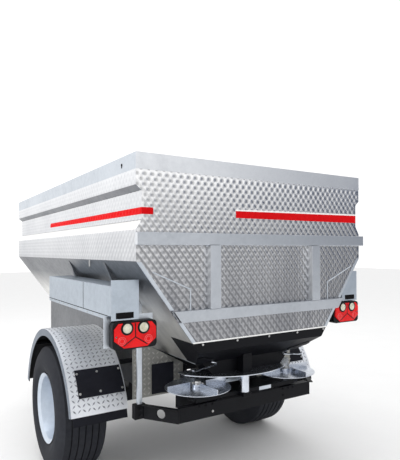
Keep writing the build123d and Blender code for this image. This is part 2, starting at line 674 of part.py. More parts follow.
hole_plane = Plane((*arm_middle, sum(BUMPER_Z) / 2), z_dir=(arm_run[1], -arm_run[0], 0))
bumper_arm -= hole_plane * Cylinder(ARM_HOLE_R, 4 * ARM_SHEET)
bumper_arms = both(bumper_arm)
rear_strut = plate_y(
    [
        (-STRUT_X[0], BUMPER_Z[1]),
        (-STRUT_X[1], BUMPER_Z[1]),
        (-STRUT_X[1], slope_z(STRUT_X[1])),
        (-STRUT_X[0], slope_z(STRUT_X[0])),
    ],
    STRUT_Y,
)
shield_corners = [
    SHIELD_ARC[2], (SHIELD_X[0], SHIELD_Z[0]), (SHIELD_X[1], SHIELD_Z[0]), (SHIELD_X[1], SHIELD_Z[1]), SHIELD_ARC[0],
]
shield_edges = [Line(a, b) for a, b in zip(shield_corners, shield_corners[1:])]
shield_edges.append(ThreePointArc(*SHIELD_ARC))
shield_plane = Plane.XZ.offset(-SHIELD_Y - SHEET)
shield = extrude(shield_plane * make_face(shield_edges), amount=SHEET)
splash_shields = both(shield)
shield_flaps = both(block(SHIELD_FLAP_X, (SHIELD_Y - RUBBER_SHEET, SHIELD_Y), SHIELD_FLAP_Z))

# Drive of the discs
carrier_y = (BUMPER_Y[0] + BUMPER_SHEET, CROSSBEAM_Y[1])
carrier_top = CARRIER_Z + CARRIER_SHEET
carrier = block((-CARRIER_HALF, CARRIER_HALF), carrier_y, (CARRIER_Z, carrier_top))
gearbox_y = (DISC_Y - GEARBOX_DEPTH, DISC_Y + GEARBOX_DEPTH)
disc_gearbox = block((-GEARBOX_HALF, GEARBOX_HALF), gearbox_y, (carrier_top, DRIVE_TOP))
motor_reach = (MOTOR_X - MOTOR_NECK_R, MOTOR_X + MOTOR_NECK_R)
disc_gearbox += block(motor_reach, (MOTOR_Y - MOTOR_NECK_R, DISC_Y), (carrier_top, DRIVE_TOP))
motor_neck = rod_z(MOTOR_X, MOTOR_Y, MOTOR_NECK_R, (DRIVE_TOP, shutter_low))
motor_x = (MOTOR_X - MOTOR_HALF, MOTOR_X + MOTOR_HALF)
motor_y = (MOTOR_Y - MOTOR_HALF, MOTOR_Y + MOTOR_HALF)
disc_motor = block(motor_x, motor_y, (chute_low, REAR_LOW)) - interior


def disc(side):
    """A spreading disc with its spindle, hub and vanes, for the left (-1) or right (1) side."""
    top = DISC_Z + DISC_SHEET
    shape = rod_z(0, 0, DISC_R, (DISC_Z, top))
    shape += rod_z(0, 0, 25, (DRIVE_TOP + RUN_GAP, DISC_Z))
    shape += rod_z(0, 0, 48, (top, top + 22))
    vane = [(VANE_START, -3), (DISC_R + 8, -3), (DISC_R + 8, 3), (VANE_START, 3)]
    foot = [(VANE_START, 3), (DISC_R - 8, 3), (DISC_R - 8, 28), (VANE_START, 28)]
    for index in range(VANE_COUNT):
        turn = Rot(0, 0, 360 * index / VANE_COUNT + VANE_TURN)
        shape += turn * Pos(0, 18, 0) * plate_z(vane, (top, top + VANE_HEIGHT))
        shape += turn * Pos(0, 18, 0) * plate_z(foot, (top, top + 4))
    if side < 0:
        shape = mirror(shape, about=Plane.YZ)
    return Pos(side * DISC_X, DISC_Y, 0) * shape


# Tail lamps
bracket_x = (LAMP_X[0], LAMP_X[1] + BRACKET_OVERHANG)
lamp_brackets = both(block(bracket_x, (LAMP_Y[1], LAMP_Y[1] + BRACKET_SHEET), (LAMP_Z[0] + 8, BOX_Z[0])))
lamp = block(LAMP_X, LAMP_Y, LAMP_Z)
lamp_housings = both(fillet(lamp.edges().filter_by(Axis.Y), 28))
lens_middle = sum(LAMP_X) / 2
lens_half = LAMP_WIDTH / 2 - 10
lens_right = [
    (lens_half - 30, LAMP_Z[1] - 10), (lens_half, LAMP_Z[1] - 45), (lens_half, LAMP_Z[0] + 58),
    (lens_half - 62, LAMP_Z[0] + 10),
]
lens_line = lens_right + [(-x, z) for x, z in lens_right[::-1]]
lens = plate_y([(lens_middle + x, z) for x, z in lens_line], (LAMP_Y[0] - LENS_SHEET, LAMP_Y[0]))
lamp_lenses = both(lens)
clear_y = (LAMP_Y[0] - LENS_SHEET - 5, LAMP_Y[0] - LENS_SHEET)
lamp_clears = both(*[rod_y(LAMP_X[0] + x, LAMP_CLEAR_Z, LAMP_CLEAR_R, clear_y) for x in LAMP_CLEARS])

nodes = {
    "chassis_beams": chassis_beams,
    "crossmembers": crossmembers,
    "outriggers": outriggers,
    "hopper_saddles": hopper_saddles,
    "skirts": skirts,
    "drawbar_arms": drawbar_arms,
    "drawbar_crosspiece": drawbar_crosspiece,
    "drawbar_head": drawbar_head,
    "towing_eye": towing_eye,
    "jack_tube": jack_tube,
    "jack_crank": jack_crank,
    "jack_leg": jack_leg,
    "axle_beam": axle_beam,
    "axle_seats": axle_seats,
    "wheel_left": wheel_left,
    "wheel_right": wheel_right,
    "tyre_left": tyre_left,
    "tyre_right": tyre_right,
    "mudguards": mudguards,
    "mudguard_stays": mudguard_stays,
    "rubber_flaps": rubber_flaps,
    "hopper_walls": hopper_walls,
    "hopper_slopes": hopper_slopes,
    "hopper_floor": hopper_floor,
    "hopper_rear": hopper_rear,
    "hopper_front": hopper_front,
    "rim_bands": rim_bands,
    "rear_rails": rear_rails,
    "rear_posts": rear_posts,
    "rear_trims": rear_trims,
    "slope_ribs": slope_ribs,
    "side_boxes": side_boxes,
    "housing_back": housing_back,
    "housing_sides": housing_sides,
    "gate_levers": gate_levers,
    "drop_chute": drop_chute,
    "shutter_plate": shutter_plate,
    "auger_shaft": auger_shaft,
    "auger_flight": auger_flight,
    "agitator_left": agitator(-AGITATOR_X),
    "agitator_right": agitator(AGITATOR_X),
    "shaft_bearings": shaft_bearings,
    "auger_drive": auger_drive,
    "rear_crossbeam": rear_crossbeam,
    "hangers": hangers,
    "bumper_bar": bumper_bar,
    "bumper_arms": bumper_arms,
    "rear_strut": rear_strut,
    "splash_shields": splash_shields,
    "shield_flaps": shield_flaps,
    "carrier_plate": carrier,
    "disc_gearbox": disc_gearbox,
    "disc_motor": disc_motor,
    "motor_neck": motor_neck,
    "disc_left": disc(-1),
    "disc_right": disc(1),
    "lamp_brackets": lamp_brackets,
    "lamp_housings": lamp_housings,
    "lamp_lenses": lamp_lenses,
    "lamp_clears": lamp_clears,
}

folder = Path("parts")
folder.mkdir(exist_ok=True)
for name, shape in nodes.items():
    export_step(shape.moved(Location((0, -MID_Y, 0))), folder / f"{name}.step")
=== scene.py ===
"""Looks of the towed salt spreader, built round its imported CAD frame.

Lengths are in metres in the frame's own axes: X right, Y forward, Z up from the ground.
"""

import logging
import math
from dataclasses import dataclass, field
from enum import Enum
from functools import reduce
from typing import Callable, Iterable

import bmesh
import bpy
import numpy as np
from mathutils import Matrix, Vector


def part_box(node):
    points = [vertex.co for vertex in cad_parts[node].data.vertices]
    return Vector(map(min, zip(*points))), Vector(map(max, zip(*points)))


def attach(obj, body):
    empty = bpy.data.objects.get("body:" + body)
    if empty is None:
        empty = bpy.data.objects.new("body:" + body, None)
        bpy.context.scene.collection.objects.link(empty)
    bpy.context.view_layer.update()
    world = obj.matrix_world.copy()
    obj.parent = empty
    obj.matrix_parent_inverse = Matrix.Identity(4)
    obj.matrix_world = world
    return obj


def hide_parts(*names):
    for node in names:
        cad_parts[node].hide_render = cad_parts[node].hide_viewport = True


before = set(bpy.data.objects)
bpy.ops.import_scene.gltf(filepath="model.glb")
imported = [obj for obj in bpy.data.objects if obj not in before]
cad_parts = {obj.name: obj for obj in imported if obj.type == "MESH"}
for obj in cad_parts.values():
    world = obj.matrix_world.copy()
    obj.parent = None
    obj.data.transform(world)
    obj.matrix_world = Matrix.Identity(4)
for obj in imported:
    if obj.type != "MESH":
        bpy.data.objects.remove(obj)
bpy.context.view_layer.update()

LOG = logging.getLogger("salt_spreader")
SIDES = (-1, 1)
SIDE_NAMES = ("left", "right")
FORWARD, REARWARD, UPWARD = (0, 1, 0), (0, -1, 0), (0, 0, 1)
EMBOSS_CELL = (0.054, 0.066)
FILM = 0.0006
NO_AREA = 1e-9
SHOULDER = 0.55
BOLT_TOP = 0.86
SCREW = (0.006, 0.003)
SCREW_TOP = 0.6
MOTTLE_ROUGHNESS = 0.12
DUST_ROUGHNESS = 0.5
GRAIN_ROUGHNESS = 0.10
COAT_ROUGHNESS = 0.08

Colour = tuple[float, float, float]
Point = tuple[float, float, float]
Pair = tuple[float, float]
Piece = bpy.types.Object
Node = bpy.types.Node
Link = bpy.types.NodeSocket
Term = float | Link


class Grain(Enum):
    """Stretch of a surface's fine texture along X, Y and Z, in cycles per metre."""

    EVEN = (420.0, 420.0, 420.0)
    ROLLED_Y = (900.0, 14.0, 900.0)
    ROLLED_X = (14.0, 900.0, 900.0)
    TURNED = (260.0, 260.0, 1400.0)
    MOULDED = (1500.0, 1500.0, 1500.0)
    SPRAYED = (700.0, 700.0, 700.0)


class Socket(Enum):
    """Kinds of socket that the shared node groups use."""

    FLOAT = "NodeSocketFloat"
    VECTOR = "NodeSocketVector"


class Wiring:
    """A node tree with short calls to add and link nodes."""

    def __init__(self, tree: bpy.types.NodeTree) -> None:
        """Keeps the tree that nodes go into."""
        self.tree = tree

    def add(self, kind: str, values: dict[str | int, object] | None = None, **settings: object) -> Node:
        """Adds a node.

        Args:
            kind: Blender's name of the node type.
            values: constants or sockets for its inputs, by name or place.
            settings: the node's own properties.

        Returns:
            The new node.
        """
        node = self.tree.nodes.new(kind)
        for name, value in settings.items():
            setattr(node, name, value)
        self.feed(node, values or {})
        return node

    def feed(self, node: Node, values: dict[str | int, object]) -> None:
        """Links or sets a node's inputs.

        Args:
            node: the node.
            values: constants or sockets, by the input's name or place.
        """
        for name, value in values.items():
            if isinstance(value, Link):
                self.tree.links.new(value, node.inputs[name])
            else:
                node.inputs[name].default_value = value

    def maths(self, operation: str, *terms: Term, clamp: bool = True) -> Link:
        """Adds an operation on numbers or sockets, with its result held between 0 and 1 or left free."""
        return self.add("ShaderNodeMath", dict(enumerate(terms)), operation=operation, use_clamp=clamp).outputs[0]

    def product(self, *terms: Term) -> Link:
        """Multiplies terms one after another, each result held between 0 and 1."""
        return reduce(lambda done, term: self.maths("MULTIPLY", done, term), terms)

    def ramp(
        self, value: Term, start: Term, end: Term, low: float = 0.0, high: float = 1.0, **settings: object
    ) -> Link:
        """Maps a value from the range start to end into the range low to high, and holds it there."""
        values = {"Value": value, "From Min": start, "From Max": end, "To Min": low, "To Max": high}
        return self.add("ShaderNodeMapRange", values, **settings).outputs[0]

    def noise(self, place: Link, scale: Term, detail: float, rough: float = 0.5) -> Link:
        """Adds a cloudy noise, by its scale, its number of finer layers and their strength."""
        values = {"Vector": place, "Scale": scale, "Detail": detail, "Roughness": rough}
        return self.add("ShaderNodeTexNoise", values).outputs[0]

    def stretch(self, place: Link, factor: Point | Link) -> Link:
        """Multiplies coordinates by a factor for each axis."""
        return self.add("ShaderNodeVectorMath", {0: place, 1: factor}, operation="MULTIPLY").outputs[0]

    def split(self, vector: Link) -> tuple[Link, ...]:
        """Takes a vector apart into X, Y and Z."""
        return tuple(self.add("ShaderNodeSeparateXYZ", {0: vector}).outputs)

    def blend(self, mask: Link, low: Colour | Link, high: Colour | Link) -> Link:
        """Mixes two colours, the low one where the mask is 0 and the high one where it is 1."""
        tones = [(*tone, 1.0) if isinstance(tone, tuple) else tone for tone in (low, high)]
        return self.add("ShaderNodeMix", {0: mask, 6: tones[0], 7: tones[1]}, data_type="RGBA").outputs[2]


class SharedEffect:
    """A shader node group that several finishes use."""

    name = "effect"
    inputs: dict[str, Socket] = {}
    outputs: dict[str, Socket] = {}

    def group(self) -> bpy.types.NodeTree:
        """Makes the group once.

        Returns:
            The group's node tree.
        """
        made = bpy.data.node_groups.get(self.name)
        if made:
            return made
        tree = bpy.data.node_groups.new(self.name, "ShaderNodeTree")
        for way, sockets in (("INPUT", self.inputs), ("OUTPUT", self.outputs)):
            for name, kind in sockets.items():
                tree.interface.new_socket(name=name, in_out=way, socket_type=kind.value)
        self.wiring = Wiring(tree)
        self.given = self.wiring.add("NodeGroupInput").outputs
        self.wiring.add("NodeGroupOutput", self.wire())
        return tree

    def wire(self) -> dict[str, Link]:
        """Fills the group and gives its results by name."""
        raise NotImplementedError


class FineGrain(SharedEffect):
    """Fine rolled, sprayed or moulded texture, as a value and a bumped normal."""

    name = "fine_grain"
    inputs = {"Stretch": Socket.VECTOR, "Depth": Socket.FLOAT}
    outputs = {"Value": Socket.FLOAT, "Normal": Socket.VECTOR}
    bump_height = 0.00014

    def wire(self) -> dict[str, Link]:
        """Stretches a noise by the grain and bumps the normal with it.

        Returns:
            The noise and the bumped normal.
        """
        wiring = self.wiring
        place = wiring.stretch(wiring.add("ShaderNodeTexCoord").outputs["Object"], self.given["Stretch"])
        noise = wiring.noise(place, 1.0, 3.0, 0.55)
        values = {"Distance": self.bump_height, "Height": noise, "Strength": self.given["Depth"]}
        return {"Value": noise, "Normal": wiring.add("ShaderNodeBump", values).outputs[0]}


class Mottle(SharedEffect):
    """Slow cloudy change of tone, with a few finer stains in it."""

    name = "mottle"
    inputs = {"Scale": Socket.FLOAT}
    outputs = {"Value": Socket.FLOAT}
    stain_scale = 23.0
    spread = (0.12, 0.42)

    def wire(self) -> dict[str, Link]:
        """Multiplies a coarse noise by a finer one and spreads the result.

        Returns:
            The change of tone.
        """
        wiring = self.wiring
        place = wiring.add("ShaderNodeTexCoord").outputs["Object"]
        coarse = wiring.noise(place, self.given["Scale"], 4.0, 0.6)
        fine = wiring.noise(place, self.stain_scale, 5.0, 0.7)
        return {"Value": wiring.ramp(wiring.product(coarse, fine), *self.spread)}


class MaskEffect(SharedEffect):
    """An effect that gives one mask, scaled by an amount."""

    inputs = {"Amount": Socket.FLOAT}
    outputs = {"Mask": Socket.FLOAT}

    def wire(self) -> dict[str, Link]:
        """Multiplies the mask's factors and the amount."""
        return {"Mask": self.wiring.product(*self.factors(), self.given["Amount"])}

    def factors(self) -> list[Link]:
        """Adds the values whose product is the mask."""
        raise NotImplementedError


class DustFilm(MaskEffect):
    """Mask of dust that lies on faces turned up and low down on the machine."""

    name = "dust_film"
    upward_share = 0.6
    low_share = 0.5
    heights = (1.3, 0.3)
    patch_scale = 9.0

    def factors(self) -> list[Link]:
        """Adds the upward faces to the low ones and breaks them with noise.

        Returns:
            The faces and the noise.
        """
        wiring = self.wiring
        geometry = wiring.add("ShaderNodeNewGeometry").outputs
        upward = wiring.product(wiring.split(geometry["Normal"])[2], self.upward_share)
        low = wiring.ramp(wiring.split(geometry["Position"])[2], *self.heights, 0.0, self.low_share)
        noise = wiring.noise(geometry["Position"], self.patch_scale, 6.0, 0.65)
        return [wiring.maths("ADD", upward, low), noise]


class EdgeWear(MaskEffect):
    """Mask of bare edges, where the rounded normal leaves the face's own."""

    name = "edge_wear"
    radius = 0.006
    bends = (0.995, 0.86)
    chip_scale = 38.0
    chips = (0.48, 0.62)

    def factors(self) -> list[Link]:
        """Compares the rounded and the plain normal and breaks the edge with noise.

        Returns:
            The edge and the noise.
        """
        wiring = self.wiring
        geometry = wiring.add("ShaderNodeNewGeometry").outputs
        rounded = wiring.add("ShaderNodeBevel", {"Radius": self.radius}, samples=4).outputs[0]
        dot = wiring.add("ShaderNodeVectorMath", {0: rounded, 1: geometry["Normal"]}, operation="DOT_PRODUCT")
        noise = wiring.noise(geometry["Position"], self.chip_scale, 5.0)
        return [wiring.ramp(dot.outputs["Value"], *self.bends), wiring.ramp(noise, *self.chips)]


class PaintedLowReflection(MaskEffect):
    """Mask of painted reflection that thickens from one height down to another, most of all on faces turned to the
    rear: it darkens most finishes toward the ground and makes the hopper's slopes paler toward their foot.
    """

    name = "painted_low_reflection"
    inputs = {"Amount": Socket.FLOAT, "Top": Socket.FLOAT, "Foot": Socket.FLOAT}
    streaks = (7.0, 7.0, 1.2)
    thick = (0.2, 0.7)
    thin_share = 0.6
    rear_turn = (-0.3, -0.8)
    side_share = 0.62

    def factors(self) -> list[Link]:
        """Fades a streaked noise in from the painted reflection's top downward, and adds to it on rear faces.

        Returns:
            The fall from top to foot, the streaks and the rear faces.
        """
        wiring = self.wiring
        geometry = wiring.add("ShaderNodeNewGeometry").outputs
        fall = wiring.ramp(wiring.split(geometry["Position"])[2], self.given["Top"], self.given["Foot"])
        streaks = wiring.noise(wiring.stretch(geometry["Position"], self.streaks), 1.0, 5.0, 0.6)
        rear = wiring.ramp(wiring.split(geometry["True Normal"])[1], *self.rear_turn, self.side_share)
        return [fall, wiring.ramp(streaks, *self.thick, self.thin_share), rear]


class EmbossPaintedShade(MaskEffect):
    """Mask of painted shade in the hollows between the embossed pillows of the hopper's sheet and on their lower
    flanks.
    """

    name = "emboss_painted_shade"
    hollow_depth = -0.8
    hollow_share = 0.6
    flank_depth = -0.9
    flank_share = 0.8
    rim_heights = (2.42, 1.95)
    rim_share = 0.12

    def factors(self) -> list[Link]:
        """Repeats the pillows' waves along the sheet and up it, with less painted shade on the flanks near the rim.

        Returns:
            The painted shade of hollows and flanks.
        """
        wiring = self.wiring
        x, y, z = wiring.split(wiring.add("ShaderNodeTexCoord").outputs["Object"])
        along = wiring.maths("ADD", x, y, clamp=False)
        phases = [
            wiring.maths("MULTIPLY", place, 2 * math.pi / cell, clamp=False)
            for place, cell in zip((along, z), EMBOSS_CELL)
        ]
        waves = [wiring.maths("COSINE", phase, clamp=False) for phase in phases]
        pillows = wiring.maths("MULTIPLY", *waves, clamp=False)
        slant = wiring.maths("SINE", wiring.maths("ADD", *phases, clamp=False), clamp=False)
        hollow_shade = wiring.ramp(pillows, 0.0, self.hollow_depth, 0.0, self.hollow_share)
        flank_shade = wiring.ramp(slant, 0.0, self.flank_depth, 0.0, self.flank_share)
        low = wiring.ramp(z, *self.rim_heights, self.rim_share)
        return [wiring.maths("MAXIMUM", hollow_shade, wiring.product(flank_shade, low))]


@dataclass(frozen=True)
class Finish:
    """A bare, painted or moulded surface, what weather does to it, and on some finishes the shade and reflection
    painted into it.
    """

    name: str
    colour: Colour
    shade: Colour
    metallic: float
    roughness: float
    grain: Grain
    grain_depth: float
    mottle_scale: float = 2.2
    dust: float = 0.25
    wear: float = 0.0
    wear_colour: Colour = (0.42, 0.42, 0.42)
    coat: float = 0.0
    shine: float = 0.5
    # Painted reflection toward the ground, then the painted shade of the embossed pillows.
    painted_reflection: float = 0.0
    painted_reflection_colour: Colour = (0.26, 0.265, 0.28)
    painted_reflection_reach: Pair = (2.42, 1.55)
    emboss: float = 0.0
    hollow_shade_colour: Colour = (0.24, 0.25, 0.27)
    dust_colour: Colour = (0.46, 0.44, 0.40)

    def effect(self, wiring: Wiring, shared: SharedEffect, **values: object) -> bpy.types.NodeOutputs:
        """Adds a shared effect with constants for its inputs, and gives its outputs."""
        return wiring.add("ShaderNodeGroup", values, node_tree=shared.group()).outputs

    def material(self) -> bpy.types.Material:
        """Makes the material once.

        Returns:
            The material.
        """
        made = bpy.data.materials.get(self.name)
        if made:
            return made
        material = bpy.data.materials.new(self.name)
        material.use_nodes = True
        wiring = Wiring(material.node_tree)
        grain = self.effect(wiring, FineGrain(), Stretch=self.grain.value, Depth=self.grain_depth)
        mottle = self.effect(wiring, Mottle(), Scale=self.mottle_scale)[0]
        dust = self.effect(wiring, DustFilm(), Amount=self.dust)[0]
        colour = wiring.blend(mottle, self.colour, self.shade)
        # Painted reflection in streaks: darker toward the ground on most finishes, paler toward the foot of the
        # hopper's slopes.
        if self.painted_reflection:
            top, foot = self.painted_reflection_reach
            low_reflection_mask = self.effect(wiring, PaintedLowReflection(), Amount=self.painted_reflection, Top=top, Foot=foot)[0]
            colour = wiring.blend(low_reflection_mask, colour, self.painted_reflection_colour)
        # Painted shade in the hollows and on the lower flanks of the embossed pillows.
        if self.emboss:
            hollow_shade = self.effect(wiring, EmbossPaintedShade(), Amount=self.emboss)[0]
            colour = wiring.blend(hollow_shade, colour, self.hollow_shade_colour)
        colour = wiring.blend(dust, colour, self.dust_colour)
        if self.wear:
            bare = self.effect(wiring, EdgeWear(), Amount=self.wear)[0]
            colour = wiring.blend(bare, colour, self.wear_colour)
        rough = self.roughness
        for mask, share in ((mottle, MOTTLE_ROUGHNESS), (dust, DUST_ROUGHNESS), (grain["Value"], GRAIN_ROUGHNESS)):
            rough = wiring.maths("ADD", rough, wiring.product(mask, share))
        values = {
            "Base Color": colour,
            "Metallic": wiring.maths("SUBTRACT", self.metallic, wiring.product(dust, self.metallic)),
            "Roughness": rough,
            "Normal": grain["Normal"],
            "Coat Weight": self.coat,
            "Coat Roughness": COAT_ROUGHNESS,
            "Specular IOR Level": self.shine,
        }
        wiring.feed(material.node_tree.nodes["Principled BSDF"], values)
        return material


# The embossed sheet: painted shade in its pillows' hollows and lower flanks, and painted reflection that darkens it
# toward the ground.
SHEET = Finish(
    "embossed_aluminium", (0.97, 0.97, 0.975), (0.87, 0.875, 0.885), 1.0, 0.17, Grain.EVEN, 0.08, dust=0.05,
    painted_reflection=1.0, painted_reflection_colour=(0.305, 0.31, 0.33), emboss=0.80, hollow_shade_colour=(0.07, 0.074, 0.085),
)
# The side walls' embossed sheet: weaker painted hollow shade, and painted reflection that darkens it toward the
# ground.
SIDE_SHEET = Finish(
    "embossed_side", (0.83, 0.84, 0.86), (0.71, 0.72, 0.745), 1.0, 0.24, Grain.EVEN, 0.08, dust=0.05, painted_reflection=0.6,
    emboss=0.26,
)
# Painted highlight for the upward faces of the hopper walls' groove, and painted shade for its downward faces.
PAINTED_HIGHLIGHT_FOLD = Finish("fold_painted_highlight", (0.97, 0.965, 0.95), (0.90, 0.895, 0.88), 1.0, 0.30, Grain.ROLLED_Y, 0.10, dust=0.02)
PAINTED_SHADE_FOLD = Finish("shaded_fold", (0.27, 0.28, 0.30), (0.20, 0.21, 0.225), 1.0, 0.34, Grain.ROLLED_Y, 0.10, dust=0.02)
SMOOTH = Finish(
    "smooth_aluminium", (0.62, 0.665, 0.72), (0.51, 0.55, 0.60), 1.0, 0.24, Grain.ROLLED_Y, 0.10, dust=0.08
)
BOXED = Finish(
    "boxed_aluminium", (0.50, 0.56, 0.63), (0.40, 0.45, 0.51), 1.0, 0.24, Grain.ROLLED_Y, 0.10, dust=0.08
)
# Painted reflection: a dark base for the dark ground that the slopes reflect, turning pale toward their foot.
SLOPE_PAINTED_REFLECTION = Finish(
    "sloped_aluminium_painted_reflection", (0.20, 0.208, 0.225), (0.14, 0.148, 0.16), 1.0, 0.30, Grain.ROLLED_Y, 0.12, dust=0.08,
    painted_reflection=1.5, painted_reflection_colour=(0.85, 0.84, 0.81), painted_reflection_reach=(1.70, 1.44),
)
# Painted reflection: a darker aluminium for the dark ground that the ribs and skirts reflect.
DULL_PAINTED_REFLECTION = Finish(
    "dull_aluminium_painted_reflection", (0.18, 0.188, 0.204), (0.125, 0.132, 0.143), 1.0, 0.30, Grain.ROLLED_Y, 0.12, dust=0.08,
    painted_reflection=0.3,
)
SCOURED = Finish(
    "scoured_aluminium", (0.60, 0.65, 0.71), (0.46, 0.50, 0.55), 1.0, 0.26, Grain.ROLLED_Y, 0.12, dust=0.10, painted_reflection=0.2
)
# Brushed rim band, also used as a painted highlight on the rear posts' side faces.
BAND_AND_POST_HIGHLIGHT = Finish("brushed_band", (0.80, 0.82, 0.85), (0.68, 0.70, 0.73), 1.0, 0.30, Grain.ROLLED_X, 0.14, dust=0.05)
RAIL = Finish("square_tube", (0.55, 0.578, 0.62), (0.45, 0.478, 0.516), 1.0, 0.28, Grain.ROLLED_X, 0.14, dust=0.05)
# Painted shade on the mudguards' rolled outer lips, and a near-black painted shade on their faces toward the wheel.
LIP_PAINTED_SHADE = Finish("rolled_lip_painted_shade", (0.12, 0.155, 0.21), (0.07, 0.095, 0.135), 0.9, 0.24, Grain.SPRAYED, 0.06, dust=0.05)
UNDERSIDE_PAINTED_SHADE = Finish(
    "underside_painted_shade", (0.012, 0.013, 0.016), (0.022, 0.023, 0.027), 0.0, 0.7, Grain.EVEN, 0.3, shine=0.1
)
CHECKER = Finish(
    "tread_sheet", (0.84, 0.86, 0.90), (0.70, 0.725, 0.77), 1.0, 0.48, Grain.EVEN, 0.10, dust=0.12
)
# Painted shade: the mudguards' raised lozenges take a dark copy of the tread sheet's metal.
LOZENGE_PAINTED_SHADE = Finish("tread_lozenge_painted_shade", (0.30, 0.315, 0.35), (0.20, 0.21, 0.24), 1.0, 0.22, Grain.EVEN, 0.06, dust=0.06)
WORN_CHECKER = Finish(
    "worn_tread_sheet", (0.34, 0.335, 0.30), (0.22, 0.22, 0.20), 0.9, 0.38, Grain.EVEN, 0.10, dust=0.10, painted_reflection=0.3
)
WORN_LOZENGE = Finish(
    "worn_tread_lozenge", (0.52, 0.515, 0.47), (0.38, 0.375, 0.34), 0.9, 0.30, Grain.EVEN, 0.08, dust=0.10, painted_reflection=0.3
)
BLACK = Finish(
    "black_paint", (0.0025, 0.0028, 0.0044), (0.005, 0.0055, 0.008), 0.0, 0.36, Grain.SPRAYED, 0.10, dust=0.02,
    wear=0.18, wear_colour=(0.06, 0.06, 0.07), shine=0.13,
)
STEEL = Finish("polished_steel", (0.66, 0.70, 0.77), (0.44, 0.47, 0.53), 1.0, 0.16, Grain.TURNED, 0.12, dust=0.06)
ZINC = Finish("zinc_bolts", (0.58, 0.58, 0.57), (0.42, 0.42, 0.42), 0.95, 0.34, Grain.EVEN, 0.10, dust=0.10)
RIM = Finish("silver_rim", (0.56, 0.62, 0.70), (0.44, 0.50, 0.58), 0.6, 0.28, Grain.SPRAYED, 0.05, dust=0.08)
TYRE = Finish(
    "road_tyre", (0.013, 0.0145, 0.020), (0.026, 0.028, 0.035), 0.0, 0.70, Grain.EVEN, 0.35, dust=0.04, shine=0.15
)
FLAP = Finish(
    "black_flap", (0.006, 0.0066, 0.011), (0.012, 0.013, 0.019), 0.0, 0.50, Grain.MOULDED, 0.20, dust=0.02, shine=0.1
)
LAMP_BODY = Finish(
    "lamp_moulding", (0.003, 0.0033, 0.0045), (0.007, 0.0075, 0.009), 0.0, 0.38, Grain.MOULDED, 0.12, dust=0.02,
    shine=0.2,
)
RED_LENS = Finish(
    "red_lens", (0.85, 0.010, 0.012), (0.55, 0.004, 0.006), 0.0, 0.12, Grain.MOULDED, 0.03, 14.0, dust=0.01, shine=0.2
)
CLEAR_LENS = Finish(
    "clear_lens", (0.84, 0.82, 0.70), (0.52, 0.49, 0.36), 0.6, 0.10, Grain.MOULDED, 0.03, 20.0, dust=0.01, coat=0.3
)
REFLEX = Finish(
    "red_reflex", (0.95, 0.10, 0.10), (0.80, 0.05, 0.06), 0.0, 0.10, Grain.MOULDED, 0.03, dust=0.0, coat=0.4
)
RED_FILM = Finish(
    "red_film", (0.66, 0.004, 0.007), (0.56, 0.003, 0.005), 0.0, 0.45, Grain.EVEN, 0.05, dust=0.0, shine=0.06
)
WHITE_FILM = Finish("white_film", (0.90, 0.90, 0.89), (0.84, 0.84, 0.83), 0.0, 0.36, Grain.EVEN, 0.05, dust=0.03)
# Dark joints, and painted shade in slots and along the side boxes' ledge.
SHADOW = Finish(
    "dark_gap_and_painted_shade", (0.005, 0.005, 0.006), (0.010, 0.010, 0.011), 0.0, 0.8, Grain.EVEN, 0.05, dust=0.0, shine=0.1
)
FLOOR = Finish("pale_floor", (0.80, 0.80, 0.80), (0.78, 0.78, 0.78), 0.0, 0.80, Grain.EVEN, 0.03, dust=0.0, shine=0.1)

NODE_FINISHES: dict[Finish, str] = {
    SMOOTH: "hopper_walls hopper_rear hopper_front hopper_floor rear_strut lamp_brackets rear_trims",
    BOXED: "side_boxes",
    SLOPE_PAINTED_REFLECTION: "hopper_slopes",
    DULL_PAINTED_REFLECTION: "slope_ribs skirts",
    BAND_AND_POST_HIGHLIGHT: "rim_bands",
    RAIL: "rear_rails rear_posts",
    CHECKER: "mudguards",
    WORN_CHECKER: "splash_shields",
    BLACK: "chassis_beams crossmembers outriggers hopper_saddles drawbar_arms drawbar_crosspiece drawbar_head "
    "jack_tube axle_beam axle_seats mudguard_stays housing_back housing_sides drop_chute gate_levers shaft_bearings "
    "auger_drive rear_crossbeam hangers bumper_bar bumper_arms carrier_plate disc_gearbox disc_motor",
    STEEL: "towing_eye jack_crank jack_leg shutter_plate auger_shaft auger_flight agitator_left agitator_right "
    "motor_neck disc_left disc_right",
    RIM: "wheel_left wheel_right",
    TYRE: "tyre_left tyre_right",
    FLAP: "rubber_flaps shield_flaps",
    LAMP_BODY: "lamp_housings",
    RED_LENS: "lamp_lenses",
    CLEAR_LENS: "lamp_clears",
}
ROUNDED_NODES = (
    "chassis_beams drawbar_arms drawbar_head drawbar_crosspiece bumper_bar bumper_arms rear_crossbeam rear_rails "
    "rear_posts side_boxes disc_gearbox disc_motor rear_strut auger_drive axle_beam towing_eye"
)


